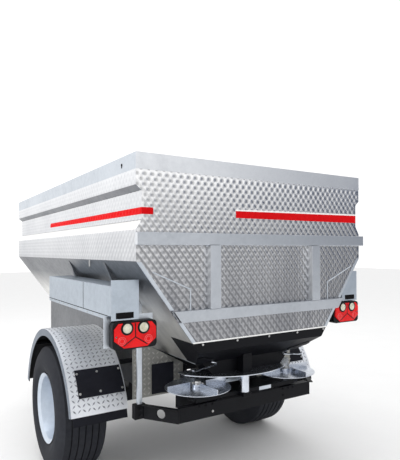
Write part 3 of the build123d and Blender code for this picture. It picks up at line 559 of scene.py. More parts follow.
@dataclass
class Shape:
    """Points and faces gathered before they become one Blender mesh."""

    points: list[np.ndarray] = field(default_factory=list)
    faces: list[tuple[int, ...]] = field(default_factory=list)
    count: int = 0

    def add(self, points: Iterable[Iterable[float]], faces: Iterable[Iterable[int]]) -> None:
        """Adds points and the faces between them.

        Args:
            points: positions.
            faces: corners of each face, counted within these points.
        """
        block = np.asarray(points, float).reshape(-1, 3)
        self.faces += [tuple(self.count + int(i) for i in face) for face in faces]
        self.points.append(block)
        self.count += len(block)

    def grid(self, points: np.ndarray, closed: bool = False) -> None:
        """Adds a sheet of four-sided faces and leaves out those with no area.

        Args:
            points: rows by columns by three.
            closed: whether the last row joins the first.
        """
        rows, columns = points.shape[:2]
        index = np.arange(rows * columns).reshape(rows, columns)
        if closed:
            index = np.vstack([index, index[:1]])
        quads = np.stack([index[:-1, :-1], index[:-1, 1:], index[1:, 1:], index[1:, :-1]], -1).reshape(-1, 4)
        flat = points.reshape(-1, 3)
        spans = [flat[quads[:, end]] - flat[quads[:, start]] for start, end in ((0, 2), (1, 3))]
        area = np.linalg.norm(np.cross(*spans), axis=1)
        self.add(flat, quads[area > NO_AREA].tolist())

    def box(self, low: Point, high: Point) -> None:
        """Adds a closed box from its lowest corner to its highest."""
        corners = [(x, y, z) for x in (low[0], high[0]) for y in (low[1], high[1]) for z in (low[2], high[2])]
        self.add(corners, [(0, 1, 3, 2), (4, 6, 7, 5), (0, 4, 5, 1), (2, 3, 7, 6), (0, 2, 6, 4), (1, 5, 7, 3)])

    def slab(self, side: int, x: Pair, y: Pair, z: Pair) -> None:
        """Adds a closed box on one side, -1 for left or 1 for right, by its limits on the right."""
        left, right = sorted(side * limit for limit in x)
        self.box((left, y[0], z[0]), (right, y[1], z[1]))

    def prism(self, foot: Point, axis: Point, radius: float, height: float, sides: int = 6, top: float = 1.0) -> None:
        """Adds a bar of regular section, such as a bolt's head or a rod.

        Args:
            foot: centre of its first end.
            axis: direction to its other end.
            radius: distance to its corners.
            height: length.
            sides: number of corners.
            top: the far end's radius as a share of the first.
        """
        turn = Vector((0, 0, 1)).rotation_difference(Vector(axis).normalized()).to_matrix()
        angles = [2 * math.pi * i / sides for i in range(sides)]
        rings = [(radius, 0.0), (radius, height * (1.0 if top == 1.0 else SHOULDER)), (radius * top, height)]
        points = [
            Vector(foot) + turn @ Vector((r * math.cos(a), r * math.sin(a), z)) for r, z in rings for a in angles
        ]
        faces: list[tuple[int, ...]] = []
        steps = [(i, (i + 1) % sides) for i in range(sides)]
        for ring in (0, sides):
            faces += [(ring + i, ring + j, ring + sides + j, ring + sides + i) for i, j in steps]
        faces += [tuple(reversed(range(sides))), tuple(range(2 * sides, 3 * sides))]
        self.add(points, faces)

    def tube(self, route: list[Point], radius: float, sides: int = 8) -> None:
        """Adds straight round bars along a route.

        Args:
            route: its corners.
            radius: the bar's radius.
            sides: corners of its section.
        """
        for start, end in zip(route, route[1:]):
            run = Vector(end) - Vector(start)
            self.prism(start, tuple(run), radius, run.length, sides)

    def lathe(self, profile: np.ndarray, centre: Point, steps: int) -> None:
        """Adds a surface turned about an X axis.

        Args:
            profile: (distance along X, radius) points.
            centre: a point on the axis.
            steps: positions round the turn.
        """
        angles = np.linspace(0, 2 * math.pi, steps, endpoint=False)[:, None]
        along = np.broadcast_to(profile[:, 0], (steps, len(profile)))
        ring = np.stack([along, profile[:, 1] * np.cos(angles), profile[:, 1] * np.sin(angles)], -1)
        self.grid(ring + np.asarray(centre), closed=True)

    def piece(self, name: str, finish: Finish, body: str = "chassis", smooth: bool = False) -> Piece:
        """Makes the object that shows this shape.

        Args:
            name: the piece's name.
            finish: its surface.
            body: the CAD body that it moves with.
            smooth: whether its faces shade smoothly.

        Returns:
            The new object.
        """
        mesh = bpy.data.meshes.new(name)
        mesh.from_pydata(np.vstack(self.points).tolist(), [], self.faces)
        work = bmesh.new()
        work.from_mesh(mesh)
        bmesh.ops.recalc_face_normals(work, faces=work.faces)
        work.to_mesh(mesh)
        work.free()
        mesh.polygons.foreach_set("use_smooth", [smooth] * len(mesh.polygons))
        mesh.materials.append(finish.material())
        made = bpy.data.objects.new(name, mesh)
        bpy.context.scene.collection.objects.link(made)
        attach(made, body)
        return made


@dataclass
class CadFinishes:
    """Finishes of the CAD nodes, the painted shade and highlights on some of their faces, and the small rounding of
    their edges.
    """

    rounding: float = 0.003
    weld_reach: float = 1e-5
    sharp_angle: float = 40.0
    slope_turn: float = 0.2
    fold_turn: float = 0.3
    post_highlight_turn: float = 0.5
    lip_turn: float = 0.9
    under_shade_reach: float = -0.3

    def dress(self) -> list[Piece]:
        """Gives each CAD node its finish.

        Returns:
            The nodes.
        """
        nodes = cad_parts
        dressed = []
        for finish, names in NODE_FINISHES.items():
            for name in names.split():
                nodes[name].data.materials.clear()
                self.extra(nodes[name], finish)
                dressed.append(nodes[name])
        for name in ROUNDED_NODES.split():
            self.soften(nodes[name])
        self.paint_guards(nodes["mudguards"])
        self.paint_faces(nodes["hopper_slopes"], SCOURED, lambda normal: normal.z > self.slope_turn)
        # Painted shade on the groove's downward faces and a painted highlight on its upward faces.
        self.paint_faces(nodes["hopper_walls"], PAINTED_SHADE_FOLD, lambda normal: normal.z < -self.fold_turn)
        self.paint_faces(nodes["hopper_walls"], PAINTED_HIGHLIGHT_FOLD, lambda normal: normal.z > self.fold_turn)
        # Painted highlight on the side faces of the rear posts.
        self.paint_faces(nodes["rear_posts"], BAND_AND_POST_HIGHLIGHT, lambda normal: abs(normal.x) > self.post_highlight_turn)
        return dressed

    def extra(self, node: Piece, finish: Finish) -> int:
        """Adds a finish to a node's list and gives its place there."""
        node.data.materials.append(finish.material())
        return len(node.data.materials) - 1

    def paint_guards(self, guards: Piece) -> None:
        """Gives the mudguards' outer lips a painted shade, and the faces toward the wheel a near-black painted shade.

        Args:
            guards: the mudguards' CAD node.
        """
        lip_shade, under = self.extra(guards, LIP_PAINTED_SHADE), self.extra(guards, UNDERSIDE_PAINTED_SHADE)
        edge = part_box("mudguards")[1].x - self.rounding
        low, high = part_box("tyre_left")
        axle = (low + high) / 2
        # Painted shade on the outer lips and on the faces toward the wheel.
        for face in guards.data.polygons:
            outward = face.normal.y * (face.center.y - axle.y) + face.normal.z * (face.center.z - axle.z)
            if abs(face.center.x) > edge and abs(face.normal.x) > self.lip_turn:
                face.material_index = lip_shade
            elif outward < self.under_shade_reach:
                face.material_index = under

    def paint_faces(self, node: Piece, finish: Finish, wanted: Callable[[Vector], bool]) -> None:
        """Gives the faces of a node that are turned one way their own finish.

        Args:
            node: the CAD node.
            finish: the finish of those faces.
            wanted: tells from a face's normal whether it is one of them.
        """
        place = self.extra(node, finish)
        for face in node.data.polygons:
            if wanted(face.normal):
                face.material_index = place

    def soften(self, node: Piece) -> None:
        """Rounds a node's sharp edges with modifiers.

        Args:
            node: the CAD node.
        """
        weld = node.modifiers.new("weld", "WELD")
        weld.merge_threshold = self.weld_reach
        bevel = node.modifiers.new("bevel", "BEVEL")
        bevel.width = self.rounding
        bevel.segments = 2
        bevel.limit_method = "ANGLE"
        bevel.angle_limit = math.radians(self.sharp_angle)


@dataclass
class HopperSkin:
    """Embossed sheet over the hopper's walls, with its stripes, edge, bolts and the painted shade of its slots."""

    groove_depth: float = 0.040
    groove_shares: tuple[float, ...] = (0.4471, 0.6086, 0.6586, 0.8063, 0.8345)
    rear_low_half: float = 0.635
    front_low_half: float = 0.492
    relief: float = 0.0048
    lift: float = 0.0004
    step: Pair = (0.009, 0.00825)
    end_fade: float = 0.02
    side_fade: float = 0.015
    stripe: Pair = (2.154, 2.198)
    stripe_rise: Pair = (0.010, 0.007)
    stripe_length: float = 2.18
    stripe_gap: Pair = (-0.923, -0.273)
    rear_stripe_rise: Pair = (0.005, 0.018)
    white_line: float = 0.011
    edge_half: float = 0.630
    edge_size: Pair = (0.006, 0.006)
    edge_drop: float = 0.003
    edge_bolts: tuple[float, ...] = (-0.553, -0.263, 0.03, 0.315, 0.60)
    edge_bolt_drop: float = 0.016
    edge_bolt: Pair = (0.009, 0.006)
    bolt_lift: float = 0.0005
    slot_y: float = 0.226
    slot_drops: Pair = (0.073, 0.052)
    slot_half: float = 0.005
    slot_round: float = 0.010
    slot_lift: float = 0.0002
    slot_height: float = 0.0015
    tab_x: Pair = (0.012, 0.004)
    tab_y: Pair = (0.882, 0.900)
    tab_drop: float = 0.055

    def __post_init__(self) -> None:
        """Reads the hopper's limits from the frame."""
        self.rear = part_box("hopper_rear")
        self.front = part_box("hopper_front")
        self.rim_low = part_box("rim_bands")[0].z
        self.half = self.rear[1].x
        self.top = self.rear[1].z
        self.back = self.rear[0].y
        self.nose = self.front[1].y
        low = self.rear[0].z
        self.folds = [low + share * (self.top - low) for share in self.groove_shares]
        self.band_low, self.groove_low, self.groove_inner_low, self.groove_inner_top, self.groove_top = self.folds

    def emboss(self, u: np.ndarray, v: np.ndarray) -> np.ndarray:
        """Height of the staggered pillows at places u along the sheet, as X plus Y, and v up it."""
        wave = np.cos(2 * math.pi * u / EMBOSS_CELL[0]) * np.cos(2 * math.pi * v / EMBOSS_CELL[1])
        return 0.5 * self.relief * (1 + wave)

    def half_width(self, z: np.ndarray, low: float, low_half: float) -> np.ndarray:
        """Half width of an end wall at heights.

        Args:
            z: heights.
            low: the wall's lowest height.
            low_half: half width there.

        Returns:
            Half widths that follow the side walls' groove.
        """
        inner = self.half - self.groove_depth
        halves = [low_half, self.half, self.half, inner, inner, self.half, self.half]
        return np.interp(z, [low, *self.folds, self.top], halves)

    def rows(self, low: float, high: float, step: float) -> np.ndarray:
        """Evenly spaced lines from one limit to another, about a step apart."""
        return np.linspace(low, high, max(2, int(round((high - low) / step)) + 1))

    def fade(self, reach: np.ndarray, width: float) -> np.ndarray:
        """Share of the relief at distances from an edge, over a width beside it."""
        return np.clip(reach / width, 0, 1)

    def end_sheet(self, shape: Shape, face: float, out: int, low: float, low_half: float) -> None:
        """Adds an end wall's embossed sheet.

        Args:
            shape: where the faces go.
            face: Y of the wall's outer face.
            out: direction out of the wall along Y.
            low: the wall's lowest height.
            low_half: half width there.
        """
        z = self.rows(low, self.rim_low, self.step[1])[:, None]
        x = self.rows(-self.half, self.half, self.step[0])[None, :]
        half = self.half_width(z, low, low_half)
        place = np.clip(x, -half, half)
        fade = self.fade(half - np.abs(place), self.end_fade) * self.fade(self.rim_low - z, self.end_fade)
        height = self.lift + self.emboss(place + face, z) * fade
        shape.grid(np.stack([place, face + out * height, np.broadcast_to(z, place.shape)], -1))

    def side_patch(self, shape: Shape, side: int, inset: float, z: Pair) -> None:
        """Adds a flat part of a side wall's sheet, as long as the wall.

        Args:
            shape: where the faces go.
            side: -1 for left, 1 for right.
            inset: how far the part lies inside the outer face.
            z: its lower and upper limits.
        """
        along = self.rows(self.back, self.nose, self.step[0])[None, :]
        along, up = np.broadcast_arrays(along, self.rows(*z, self.step[1])[:, None])
        fade = self.fade(np.minimum(along - self.back, self.nose - along), self.side_fade)
        if inset == 0:
            fade = fade * self.fade(np.minimum(up - z[0], z[1] - up), self.side_fade)
        flat = side * (self.half - inset)
        height = self.lift + self.emboss(along + flat, up) * fade
        shape.grid(np.stack([flat + side * height, along, up], -1))

    def build(self) -> list[Piece]:
        """Builds the sheets, stripes and small parts.

        Returns:
            The new pieces.
        """
        ends = Shape()
        self.end_sheet(ends, self.back, -1, self.rear[0].z, self.rear_low_half)
        self.end_sheet(ends, self.nose, 1, self.front[0].z, self.front_low_half)
        made = [ends.piece("end_wall_sheets", SHEET, smooth=True)]
        for side, name in zip(SIDES, SIDE_NAMES):
            sheet = Shape()
            for inset, z in (
                (0.0, (self.groove_top, self.rim_low)),
                (self.groove_depth, (self.groove_inner_low, self.groove_inner_top)),
                (0.0, (self.band_low, self.groove_low)),
            ):
                self.side_patch(sheet, side, inset, z)
            made.append(sheet.piece(f"side_sheet_{name}", SIDE_SHEET, smooth=True))
        return made + self.stripes() + self.small_parts()

    def stripes(self) -> list[Piece]:
        """Lays the red stripe round the hopper, with a white line over its rear right part.

        Returns:
            The new pieces.
        """
        red, white = Shape(), Shape()
        inner = self.half - self.groove_depth
        share = self.rows(0, 1, 1 / 8)[:, None]
        along = self.rows(self.back, self.back + self.stripe_length, self.step[0])[None, :]
        climb = (along - self.back) / self.stripe_length
        low, high = (limit + rise * climb for limit, rise in zip(self.stripe, self.stripe_rise))
        along, up = np.broadcast_arrays(along, low + (high - low) * share)
        ends = self.fade(along - self.back, self.side_fade)
        for side in SIDES:
            height = self.lift + FILM + self.emboss(along + side * inner, up) * ends
            red.grid(np.stack([side * (inner + height), along, up], -1))
        left_end, right_start = self.stripe_gap
        for x0, x1, rises in ((-inner, left_end, (0.0, 0.0)), (right_start, inner, self.rear_stripe_rise)):
            x = self.rows(x0, x1, self.step[0])[None, :]
            high = self.stripe[1] + np.interp(x, (x0, x1), rises)
            bands = [(red, self.stripe[0], high)]
            if x1 > 0:
                bands.append((white, high, high + self.white_line))
            for shape, under, over in bands:
                place, up = np.broadcast_arrays(x, under + (over - under) * share)
                height = self.emboss(place + self.back, up) * self.fade(inner - np.abs(place), self.end_fade)
                shape.grid(np.stack([place, self.back - self.lift - FILM - height, up], -1))
        return [red.piece("red_stripes", RED_FILM, smooth=True), white.piece("white_line", WHITE_FILM, smooth=True)]

    def small_parts(self) -> list[Piece]:
        """Sets bolts and a bright edge below the rear wall, and each side wall's tab and the painted shade of its
        slot.

        Returns:
            The new pieces.
        """
        heads, edge, slot_shade = Shape(), Shape(), Shape()
        low = self.rear[0].z
        for x in self.edge_bolts:
            foot = (x, self.back - self.bolt_lift, low - self.edge_bolt_drop)
            heads.prism(foot, REARWARD, *self.edge_bolt, 6, BOLT_TOP)
        depth, rise = self.edge_size
        edge.box((-self.edge_half, self.back - depth, low - self.edge_drop), (self.edge_half, self.back, low + rise))
        outer = self.half + self.slot_lift
        y = self.back + self.slot_y
        slot_z = tuple(self.top - drop for drop in self.slot_drops)
        tab_x = tuple(self.half - inset for inset in self.tab_x)
        tab_y = tuple(self.back + place for place in self.tab_y)
        for side in SIDES:
            # The slot is a dark sheet of painted shade on the wall.
            slot_shade.prism((side * outer, y, slot_z[1]), (side, 0, 0), self.slot_round, self.slot_height, 16)
            slot_shade.slab(side, (outer, outer + self.slot_height), (y - self.slot_half, y + self.slot_half), slot_z)
            heads.slab(side, tab_x, tab_y, (self.band_low - self.tab_drop, self.band_low))
        bright = [heads.piece("hopper_bolts", ZINC), edge.piece("rear_edge", WHITE_FILM)]
        return [*bright, slot_shade.piece("rim_slot_shade", SHADOW)]


@dataclass
class GuardArc:
    """Outer arc of the mudguards, seen along the axle."""

    radius: float = 0.750
    angles: Pair = (12.0, 165.0)

    def __post_init__(self) -> None:
        """Reads the mudguards' limits from the frame."""
        self.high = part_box("mudguards")[1]
        self.start, self.end = (math.radians(angle) for angle in self.angles)

    def point(self, x: float, turn: float, lift: float = 0.0) -> tuple[Vector, Vector]:
        """A place on the arc.

        Args:
            x: place across the machine.
            turn: angle round the guard in radians, up from forward.
            lift: distance off the sheet.

        Returns:
            The place and the direction out of the sheet.
        """
        middle = Vector((x, self.high.y - self.radius * math.cos(self.start), self.high.z - self.radius))
        out = Vector((0, math.cos(turn), math.sin(turn)))
        return middle + out * (self.radius + lift), out


@dataclass
class TreadPlate:
    """Raised lozenges of the checker sheet on the mudguards and splash shields."""

    pitch: float = 0.038
    length: float = 0.036
    width: float = 0.013
    height: float = 0.0024
    sink: float = 0.0002
    ridge_share: float = 0.2
    guard_inner: float = 0.775
    guard_margin: float = 0.03
    guard_first: Pair = (0.028, 0.6)
    shield_arc: tuple[Pair, ...] = ((1.023, 0.360), (1.123, 0.540), (1.198, 0.680))
    shield_margin: float = 0.01
    shield_first: Pair = (0.6, 0.7)

    def lozenge(self, shape: Shape, place: Vector, along: Vector, across: Vector, out: Vector, flip: bool) -> None:
        """Adds one lozenge.

        Args:
            shape: where the faces go.
            place: its middle on the sheet.
            along: one unit direction on the sheet.
            across: the other.
            out: the sheet's normal.
            flip: whether it leans the other way.
        """
        lean = (along + across if flip else along - across).normalized()
        side = out.cross(lean)
        foot = place - out * self.sink
        ends = [foot + lean * self.length / 2, foot + side * self.width / 2]
        ends += [foot - lean * self.length / 2, foot - side * self.width / 2]
        ridge = [place + out * self.height + lean * s * self.length * self.ridge_share for s in (1, -1)]
        shape.add(ends + ridge, [(0, 1, 4), (1, 5, 4), (1, 2, 5), (2, 3, 5), (3, 4, 5), (3, 0, 4)])

    def build(self) -> list[Piece]:
        """Covers the mudguards and shields with lozenges."""
        return [self.on_guards(), self.on_shields()]

    def on_guards(self) -> Piece:
        """Lays lozenges over both mudguards.

        Returns:
            The new piece.
        """
        shape, arc = Shape(), GuardArc()
        edge, first = self.guard_first
        columns = int((arc.high.x - self.guard_inner - self.guard_margin) / self.pitch)
        for row in range(int((arc.end - arc.start) * arc.radius / self.pitch)):
            turn = arc.start + (row + first) * self.pitch / arc.radius
            along = Vector((0, -math.sin(turn), math.cos(turn)))
            for column in range(columns):
                x = arc.high.x - edge - column * self.pitch
                for side in SIDES:
                    place, out = arc.point(side * x, turn)
                    self.lozenge(shape, place, along, Vector((side, 0, 0)), out, (row + column) % 2 == 0)
        # The lozenges carry a painted shade finish.
        return shape.piece("mudguard_lozenges", LOZENGE_PAINTED_SHADE)

    def on_shields(self) -> Piece:
        """Lays lozenges over the splash shields' rear faces.

        Returns:
            The new piece.
        """
        shape = Shape()
        low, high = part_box("splash_shields")
        out, up = Vector(REARWARD), Vector(UPWARD)
        first_x, first_z = self.shield_first
        for row in range(int((high.z - low.z) / self.pitch)):
            z = low.z + (row + first_z) * self.pitch
            reach = np.interp(z, *zip(*self.shield_arc)) + self.shield_margin
            for column in range(int((high.x - reach) / self.pitch)):
                x = high.x - (column + first_x) * self.pitch
                for side in SIDES:
                    place = Vector((side * x, low.y, z))
                    self.lozenge(shape, place, up, Vector((side, 0, 0)), out, (row + column) % 2 == 0)
        return shape.piece("shield_lozenges", WORN_LOZENGE)


@dataclass
class RoadWheel:
    """Ribbed tyre, wheel nuts and valve of one wheel."""

    side: int
    name: str
    grooves: tuple[float, ...] = (-0.112, -0.056, 0.0, 0.056, 0.112)
    groove_width: float = 0.012
    groove_depth: float = 0.016
    groove_floor: float = 0.7
    tread_half: float = 0.165
    crown: float = 0.005
    bead_half: float = 0.168
    bead_radius: float = 0.284
    steps: int = 144
    sharp_angle: float = 38.0
    nuts: int = 10
    nut_circle: float = 0.1675
    nut_face: float = 0.035
    nut: Pair = (0.017, 0.026)
    nut_top: float = 0.7
    washer: Pair = (0.021, 0.006)
    valve: Pair = (0.006, 0.05)
    valve_place: Pair = (0.02, 0.245)
    valve_lean: float = -0.5

    def __post_init__(self) -> None:
        """Reads the tyre's place from the frame."""
        low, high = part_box(f"tyre_{self.name}")
        self.centre = (low + high) / 2
        self.radius = (high.z - low.z) / 2
        self.half = (high.x - low.x) / 2

    def side_line(self) -> list[Pair]:
        """Rounded outline of one sidewall from the bead to the tread.

        Returns:
            (distance out, radius) points.
        """
        line = np.array(
            [
                (self.bead_half, self.bead_radius),
                (self.bead_half + 0.032, self.bead_radius + 0.051),
                (self.half + 0.006, self.bead_radius + 0.111),
                (self.half - 0.012, self.radius - 0.051),
                (self.tread_half, self.radius - self.crown),
            ]
        )
        for _ in range(3):
            cut = np.stack([0.75 * line[:-1] + 0.25 * line[1:], 0.25 * line[:-1] + 0.75 * line[1:]], 1).reshape(-1, 2)
            line = np.vstack([line[:1], cut, line[-1:]])
        return [(min(x, self.half), r) for x, r in line.tolist()]

    def profile(self) -> np.ndarray:
        """Outline of the whole tyre, with its grooves.

        Returns:
            (distance along X, radius) points.
        """
        right = self.side_line()
        tread = []
        floor = self.groove_floor
        for groove in sorted(self.grooves, reverse=True):
            for shift, depth in ((1.0, 0.0), (floor, 1.0), (-floor, 1.0), (-1.0, 0.0)):
                x = groove + shift * self.groove_width / 2
                crown = self.radius - self.crown * (x / self.tread_half) ** 2
                tread.append((x, crown - depth * self.groove_depth))
        left = [(-x, r) for x, r in right[::-1]]
        return np.array(right + tread + left)

    def build(self) -> list[Piece]:
        """Builds the tyre, the wheel nuts and the valve.

        Returns:
            The new pieces.
        """
        body = f"{self.name}_wheel"
        tyre = Shape()
        tyre.lathe(self.profile(), tuple(self.centre), self.steps)
        made = tyre.piece(f"ribbed_tyre_{self.name}", TYRE, body)
        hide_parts(f"tyre_{self.name}")
        self.shade(made)
        nuts = Shape()
        face = self.centre.x + self.side * self.nut_face
        for index in range(self.nuts):
            angle = 2 * math.pi * index / self.nuts
            y = self.centre.y + self.nut_circle * math.cos(angle)
            z = self.centre.z + self.nut_circle * math.sin(angle)
            nuts.prism((face, y, z), (self.side, 0, 0), *self.washer, 16)
            nuts.prism((face, y, z), (self.side, 0, 0), *self.nut, 6, self.nut_top)
        out, rise = self.valve_place
        foot = (face + self.side * out, self.centre.y, self.centre.z + rise)
        nuts.prism(foot, (self.side, 0, self.valve_lean), *self.valve, 8)
        return [made, nuts.piece(f"wheel_nuts_{self.name}", ZINC, body)]

    def shade(self, tyre: Piece) -> None:
        """Smooths the tyre's round faces and keeps its groove edges sharp."""
        tyre.data.polygons.foreach_set("use_smooth", [True] * len(tyre.data.polygons))
        tyre.data.set_sharp_from_angle(angle=math.radians(self.sharp_angle))


@dataclass
class TailLamps:
    """Lens divisions, rings and screws of the tail lamps."""

    clear_x: Pair = (0.945, 1.060)
    clear_z: float = 1.430
    clear_seat: Pair = (0.043, 0.0022)
    clear_edge: float = 0.0325
    clear_rings: tuple[float, ...] = (0.024, 0.015, 0.007)
    divisions: tuple[Pair, ...] = ((0.0, 0.088), (0.082, -0.052), (-0.082, -0.052))
    division_drop: float = 0.058
    division_radius: float = 0.0045
    line_sink: float = 0.001
    reflex_x: float = 0.092
    reflex_drop: float = 0.078
    reflex_rings: Pair = (0.026, 0.016)
    screw_inset: float = 0.012
    screw_rise: float = 0.075
    ring_wire: float = 0.0022
    ring_steps: tuple[int, int] = (28, 7)

    def build(self) -> list[Piece]:
        """Builds the lamps' small parts.

        Returns:
            The new pieces.
        """
        low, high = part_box("lamp_lenses")
        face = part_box("lamp_clears")[0].y
        seat = low.y + self.line_sink
        lines, rings, screws, reflex = Shape(), Shape(), Shape(), Shape()
        middle = sum(self.clear_x) / 2
        for side in SIDES:
            x = side * middle
            for reach, drop in self.divisions:
                run = Vector((side * reach, 0, drop))
                start = (x, seat, self.clear_z - self.division_drop)
                lines.prism(start, tuple(run), self.division_radius, run.length, 4)
            for clear in self.clear_x:
                self.ring(lines, (side * clear, face, self.clear_z), self.clear_edge)
                lines.prism((side * clear, seat, self.clear_z), REARWARD, *self.clear_seat, 28)
                for radius in self.clear_rings:
                    self.ring(rings, (side * clear, face, self.clear_z), radius)
            for reach in (-self.reflex_x, self.reflex_x):
                for radius in self.reflex_rings:
                    self.ring(reflex, (x + reach, low.y, self.clear_z - self.reflex_drop), radius)
            for edge in (low.x, high.x):
                place = abs(edge) - self.screw_inset
                screws.prism((side * place, low.y, low.z + self.screw_rise), REARWARD, *SCREW, 10, SCREW_TOP)
        return [
            lines.piece("lamp_divisions", LAMP_BODY),
            rings.piece("lamp_rings", CLEAR_LENS, smooth=True),
            reflex.piece("lamp_reflexes", REFLEX, smooth=True),
            screws.piece("lamp_screws", ZINC),
        ]

    def ring(self, shape: Shape, middle: Point, radius: float) -> None:
        """Adds a raised ring on a round lamp.

        Args:
            shape: where the faces go.
            middle: its middle on the lamp's face.
            radius: the ring's radius.
        """
        turns, sides = self.ring_steps
        turn = np.linspace(0, 2 * math.pi, turns, endpoint=False)[:, None]
        section = np.linspace(0, 2 * math.pi, sides)[None, :]
        reach = radius + self.ring_wire * np.cos(section)
        across, up = reach * np.cos(turn), reach * np.sin(turn)
        depth = np.broadcast_to(-self.ring_wire * np.sin(section), across.shape)
        shape.grid(np.stack([across, depth, up], -1) + np.asarray(middle), closed=True)


class Bolt(Enum):
    """Sizes of bolt, as the distance from the head's middle to its corners."""

    SMALL = 0.007
    BUMPER = 0.008
    DRIVE = 0.009
    HEAVY = 0.011


@dataclass
class Fasteners:
    """Bolt heads, seams, painted shade lines and small bars over the rear frame, boxes, bumper, drive and drawbar."""

    washer: Pair = (1.35, 0.25)
    head_height: float = 0.9
    rubber_sheet: float = 0.006
    bar_x: tuple[float, ...] = (0.345, 0.400, 0.455)
    bar_edges: Pair = (0.040, 0.016)
    beam_x: Pair = (0.10, 0.25)
    arm_foot: Pair = (0.818, 0.236)
    arm_edge: float = 0.03
    guard_x: tuple[float, ...] = (0.80, 0.98, 1.14)
    guard_turns: Pair = (140.5, 152.5)
    head_plate: float = 0.020
    head_bolt: Pair = (0.052, 0.038)
    drive_x: Pair = (0.16, 0.36)
    drive_z: Pair = (0.025, 0.095)
    drive_y: Pair = (0.050, 0.140)
    motor_x: float = 0.095
    motor_edge: float = 0.02
    seat_edge: float = 0.06
    seat_drops: Pair = (0.03, 0.075)
    seam_y: float = 0.549
    seam_half: float = 0.003
    seam_z: Pair = (1.511, 1.698)
    ledge_shade_z: Pair = (1.505, 1.510)
    ledge_start: float = 0.06
    slot_x: Pair = (1.004, 1.126)
    slot_z: Pair = (1.491, 1.530)
    ledge_screws: int = 12
    ledge_screw_y: Pair = (0.10, 0.12)
    ledge_screw_z: float = 1.494
    ledge_screw: Pair = (0.006, 0.0025)
    cap: float = 0.004
    cap_edge: float = 0.003
    cap_height: float = 0.078
    plate_x: Pair = (0.105, 0.225)
    plate_face: float = 0.074
    plate_sheet: float = 0.0015
    plate_edge: float = 0.003
    hook_route: tuple[Point, ...] = (
        (0.372, 0.165, 1.115), (0.322, 0.172, 1.104), (0.330, 0.172, 1.087), (0.430, 0.172, 1.076),
        (0.515, 0.172, 1.064), (0.532, 0.172, 1.080),
    )
    hook_radius: float = 0.006
    hub_z: float = 0.944
    hub_nut: Pair = (0.026, 0.018)
    hub_top: float = 0.88
    vane_circle: float = 0.036
    vane_bolt: Pair = (0.008, 0.006)
    cover_x: Pair = (0.93, 0.65)
    cover_z: Pair = (1.788, 1.668)
    cover_lift: float = 0.003
    cover_radius: float = 0.005
    low_rail: float = 0.077

    def bolt(self, shape: Shape, foot: Point, axis: Point, size: Bolt) -> None:
        """Adds a washer and a six-sided head.

        Args:
            shape: where the faces go.
            foot: middle of the seat.
            axis: direction out of the seat.
            size: the bolt's size.
        """
        radius = size.value
        wide, thick = self.washer
        shape.prism(foot, axis, radius * wide, radius * thick, 16)
        shape.prism(foot, axis, radius, radius * self.head_height, 6, BOLT_TOP)

    def build(self) -> list[Piece]:
        """Builds all the small parts and gives the new pieces."""
        made = [*self.rear_bolts(), self.front_bolts(), self.box_seams_and_painted_shade(), self.box_screws(), self.rail_caps()]
        return [*made, *self.disc_parts(), *self.drive_parts(), self.cable_covers()]

    def rear_bolts(self) -> list[Piece]:
        """Bolts of the bumper, its arms and the mudguards.

        Returns:
            The bright bolts and the painted ones.
        """
        bright, painted = Shape(), Shape()
        bar, beam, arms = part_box("bumper_bar"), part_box("carrier_plate"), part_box("bumper_arms")
        arc = GuardArc()
        rise, drop = self.bar_edges
        arm_x, arm_y = self.arm_foot
        for side in SIDES:
            for x in self.bar_x:
                self.bolt(painted, (side * x, bar[0].y, bar[1].z - drop), REARWARD, Bolt.BUMPER)
            low_bolt = (side * self.bar_x[0], bar[0].y, bar[0].z + rise)
            self.bolt(painted if side > 0 else bright, low_bolt, REARWARD, Bolt.SMALL)
            for x in self.beam_x:
                self.bolt(bright, (side * x, (bar[0].y + bar[1].y) / 2, beam[1].z), UPWARD, Bolt.HEAVY)
            for z in (arms[0].z + self.arm_edge, arms[1].z - self.arm_edge):
                self.bolt(painted, (side * arm_x, arms[0].y + arm_y, z), REARWARD, Bolt.DRIVE)
            for x in self.guard_x:
                for turn in self.guard_turns:
                    self.bolt(bright, *arc.point(side * x, math.radians(turn), self.rubber_sheet), Bolt.SMALL)
        return [bright.piece("rear_bolts", ZINC), painted.piece("painted_bolts", BLACK)]

    def front_bolts(self) -> Piece:
        """Bolts of the drawbar's head, the auger drive and the axle's seats.

        Returns:
            The new piece.
        """
        shape = Shape()
        eye, drive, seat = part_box("towing_eye"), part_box("auger_drive"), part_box("axle_seats")
        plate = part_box("drawbar_head")[1].y + self.head_plate
        head_x, head_z = self.head_bolt
        flange_y, motor_y = (drive[0].y + place for place in self.drive_y)
        for side in SIDES:
            for z in (-head_z, head_z):
                self.bolt(shape, (side * head_x, plate, (eye[0].z + eye[1].z) / 2 + z), FORWARD, Bolt.HEAVY)
            for x in self.drive_x:
                for z in self.drive_z:
                    self.bolt(shape, (side * x, flange_y, drive[0].z + z), FORWARD, Bolt.DRIVE)
            for x in (-self.motor_x, self.motor_x):
                for z in (drive[0].z + self.motor_edge, drive[1].z - self.motor_edge):
                    self.bolt(shape, (x, motor_y, z), FORWARD, Bolt.DRIVE)
            for y in (seat[0].y + self.seat_edge, seat[1].y - self.seat_edge):
                for drop in self.seat_drops:
                    self.bolt(shape, (side * seat[1].x, y, seat[1].z - drop), (side, 0, 0), Bolt.HEAVY)
        return shape.piece("front_bolts", ZINC)

    def box_seams_and_painted_shade(self) -> Piece:
        """Dark seams of the side boxes, a painted shadow line along their ledge, and painted shade in the slots of
        their end plates.

        Returns:
            The new piece.
        """
        shape = Shape()
        low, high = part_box("side_boxes")
        skin = (high.x, high.x + FILM)
        y = low.y + self.seam_y
        for side in SIDES:
            shape.slab(side, skin, (y - self.seam_half, y + self.seam_half), self.seam_z)
            # Painted shadow line along the ledge.
            shape.slab(side, skin, (low.y + self.ledge_start, high.y), self.ledge_shade_z)
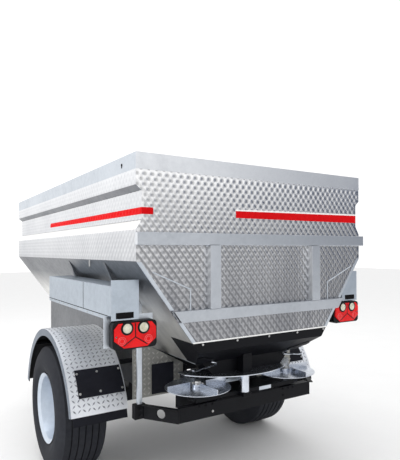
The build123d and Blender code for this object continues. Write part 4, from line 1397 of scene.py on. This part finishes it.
            # Painted shade in the end plates' slots.
            shape.slab(side, self.slot_x, (low.y - FILM, low.y), self.slot_z)
        return shape.piece("box_seams_and_painted_shade", SHADOW)

    def box_screws(self) -> Piece:
        """Small screws along the ledge under each side box.

        Returns:
            The new piece.
        """
        shape = Shape()
        low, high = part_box("side_boxes")
        first, pitch = self.ledge_screw_y
        for side in SIDES:
            for index in range(self.ledge_screws):
                foot = (side * high.x, low.y + first + index * pitch, self.ledge_screw_z)
                shape.prism(foot, (side, 0, 0), *self.ledge_screw, 10, SCREW_TOP)
        return shape.piece("box_screws", ZINC)

    def rail_caps(self) -> Piece:
        """Plates that close the ends of the upper rail's tube.

        Returns:
            The new piece.
        """
        shape = Shape()
        low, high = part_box("rear_rails")
        y = (low.y + self.cap_edge, high.y - self.cap_edge)
        z = (high.z - self.cap_height, high.z - self.cap_edge)
        for side in SIDES:
            shape.slab(side, (high.x - self.cap, high.x), y, z)
        return shape.piece("rail_caps", BAND_AND_POST_HIGHLIGHT)

    def drive_parts(self) -> list[Piece]:
        """Blank plate on the discs' gearbox and the bright hooks of the gate levers.

        Returns:
            The new pieces.
        """
        plate, hooks = Shape(), Shape()
        low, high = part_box("disc_gearbox")
        face = low.y + self.plate_face
        z = (low.z + self.plate_edge, high.z - self.plate_edge)
        plate.slab(1, self.plate_x, (face - self.plate_sheet, face), z)
        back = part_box("hopper_rear")[0].y
        for side in SIDES:
            hooks.tube([(side * x, back + y, z) for x, y, z in self.hook_route], self.hook_radius)
        return [plate.piece("blank_plate", SMOOTH), hooks.piece("lever_hooks", STEEL, smooth=True)]

    def disc_parts(self) -> list[Piece]:
        """Hub nuts and vane bolts of the discs.

        Returns:
            The new pieces.
        """
        made = []
        for name in SIDE_NAMES:
            shape = Shape()
            low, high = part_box(f"disc_{name}")
            centre = (low + high) / 2
            shape.prism((centre.x, centre.y, self.hub_z), UPWARD, *self.hub_nut, 6, self.hub_top)
            for index in range(4):
                angle = math.radians(45 + 90 * index)
                x = centre.x + self.vane_circle * math.cos(angle)
                y = centre.y + self.vane_circle * math.sin(angle)
                shape.prism((x, y, self.hub_z), UPWARD, *self.vane_bolt, 6, BOLT_TOP)
            made.append(shape.piece(f"disc_bolts_{name}", ZINC, f"{name}_disc"))
        return made

    def cable_covers(self) -> Piece:
        """Thin covers on the rear wall from the lamps to the lower rail.

        Returns:
            The new piece.
        """
        shape = Shape()
        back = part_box("hopper_rear")[0].y - self.cover_lift
        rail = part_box("rear_rails")[0].z + self.low_rail
        (outer, inner), (top, bend) = self.cover_x, self.cover_z
        for side in SIDES:
            route = [(side * outer, back, top), (side * inner, back, bend), (side * inner, back, rail)]
            shape.tube(route, self.cover_radius)
        return shape.piece("cable_covers", SMOOTH)


@dataclass
class Studio:
    """Floor, light and the camera at the photo's angle."""

    lens_px: float = 463.7
    frame_px: tuple[int, int] = (400, 460)
    centre_px: Pair = (200.0, 248.5)
    sensor: float = 36.0
    yaw: float = 32.21
    pitch: float = 0.29
    roll: float = -0.20
    stand: Point = (-2.238, -2.645, 1.922)
    floor_half: float = 40.0
    light_aim: Point = (0.0, 0.0, 1.2)
    light_plan: tuple[tuple[str, Point, float, float], ...] = (
        ("key_light", (-7.0, -1.5, 6.0), 5.0, 260.0),
        ("top_light", (0.0, 0.5, 8.0), 6.0, 200.0),
    )
    sky: Colour = (1.0, 1.0, 1.0)
    dark_sky: Colour = (0.07, 0.09, 0.14)
    dark_limits: tuple[Pair, ...] = ((0.46, 0.76), (0.1, -0.3), (0.75, 0.15))
    sky_strength: float = 1.15

    def build(self) -> list[Piece]:
        """Sets up the floor, lights, world and camera.

        Returns:
            The stage's objects.
        """
        made = [self.floor(), *self.lights(), self.camera()]
        self.world()
        return made

    def floor(self) -> Piece:
        """Lays a wide pale floor.

        Returns:
            The floor.
        """
        mesh = bpy.data.meshes.new("floor")
        corners = [(x * self.floor_half, y * self.floor_half, 0) for x, y in ((-1, -1), (1, -1), (1, 1), (-1, 1))]
        mesh.from_pydata(corners, [], [(0, 1, 2, 3)])
        mesh.materials.append(FLOOR.material())
        made = bpy.data.objects.new("floor", mesh)
        bpy.context.scene.collection.objects.link(made)
        return made

    def lights(self) -> list[Piece]:
        """Hangs two large soft lights.

        Returns:
            The lights.
        """
        made = []
        for name, place, size, power in self.light_plan:
            data = bpy.data.lights.new(name, "AREA")
            data.size = size
            data.energy = power
            light = bpy.data.objects.new(name, data)
            light.location = place
            light.rotation_euler = (Vector(self.light_aim) - Vector(place)).to_track_quat("-Z", "Y").to_euler()
            bpy.context.scene.collection.objects.link(light)
            made.append(light)
        return made

    def world(self) -> None:
        """Gives the scene a pale even sky, with a soft dark side that only lights and reflections take up."""
        world = bpy.data.worlds.new("studio")
        bpy.context.scene.world = world
        world.use_nodes = True
        wiring = Wiring(world.node_tree)
        axes = wiring.split(wiring.add("ShaderNodeTexCoord").outputs["Generated"])
        dark = [
            wiring.ramp(axis, *limits, interpolation_type="SMOOTHSTEP")
            for axis, limits in zip(axes, self.dark_limits)
        ]
        unseen = wiring.maths("SUBTRACT", 1.0, wiring.add("ShaderNodeLightPath").outputs["Is Camera Ray"])
        colour = wiring.blend(wiring.product(*dark, unseen), self.sky, self.dark_sky)
        wiring.feed(world.node_tree.nodes["Background"], {"Color": colour, "Strength": self.sky_strength})

    def camera(self) -> Piece:
        """Stands the camera where the photo was taken.

        Returns:
            The camera.
        """
        yaw, pitch, roll = (math.radians(angle) for angle in (self.yaw, self.pitch, self.roll))
        ahead = Vector((math.sin(yaw) * math.cos(pitch), math.cos(yaw) * math.cos(pitch), math.sin(pitch)))
        level = Vector((math.cos(yaw), -math.sin(yaw), 0))
        upright = level.cross(ahead)
        right = math.cos(roll) * level + math.sin(roll) * upright
        up = math.cos(roll) * upright - math.sin(roll) * level
        data = bpy.data.cameras.new("camera")
        long_side = max(self.frame_px)
        data.sensor_width = self.sensor
        data.lens = self.lens_px / long_side * self.sensor
        data.shift_x = (self.frame_px[0] / 2 - self.centre_px[0]) / long_side
        data.shift_y = (self.centre_px[1] - self.frame_px[1] / 2) / long_side
        made = bpy.data.objects.new("camera", data)
        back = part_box("hopper_rear")[0].y
        turn = Matrix((right, up, -ahead)).transposed().to_4x4()
        made.matrix_world = Matrix.Translation(Vector(self.stand) + Vector((0, back, 0))) @ turn
        bpy.context.scene.collection.objects.link(made)
        bpy.context.scene.camera = made
        return made


def main() -> None:
    """Builds the looks in order and reports each piece."""
    logging.basicConfig(level=logging.INFO, format="%(name)s: %(message)s")
    dressed = CadFinishes().dress()
    LOG.info("CAD nodes with a finish: %d", len(dressed))
    builders: list[Callable[[], list[Piece]]] = [
        HopperSkin().build,
        TreadPlate().build,
        *[RoadWheel(side, name).build for side, name in zip(SIDES, SIDE_NAMES)],
        TailLamps().build,
        Fasteners().build,
    ]
    for build in builders:
        for made in build():
            LOG.info("%s: %d faces", made.name, len(made.data.polygons))
    Studio().build()
    bpy.context.scene.view_settings.view_transform = "Standard"


if __name__ == "__main__":
    main()
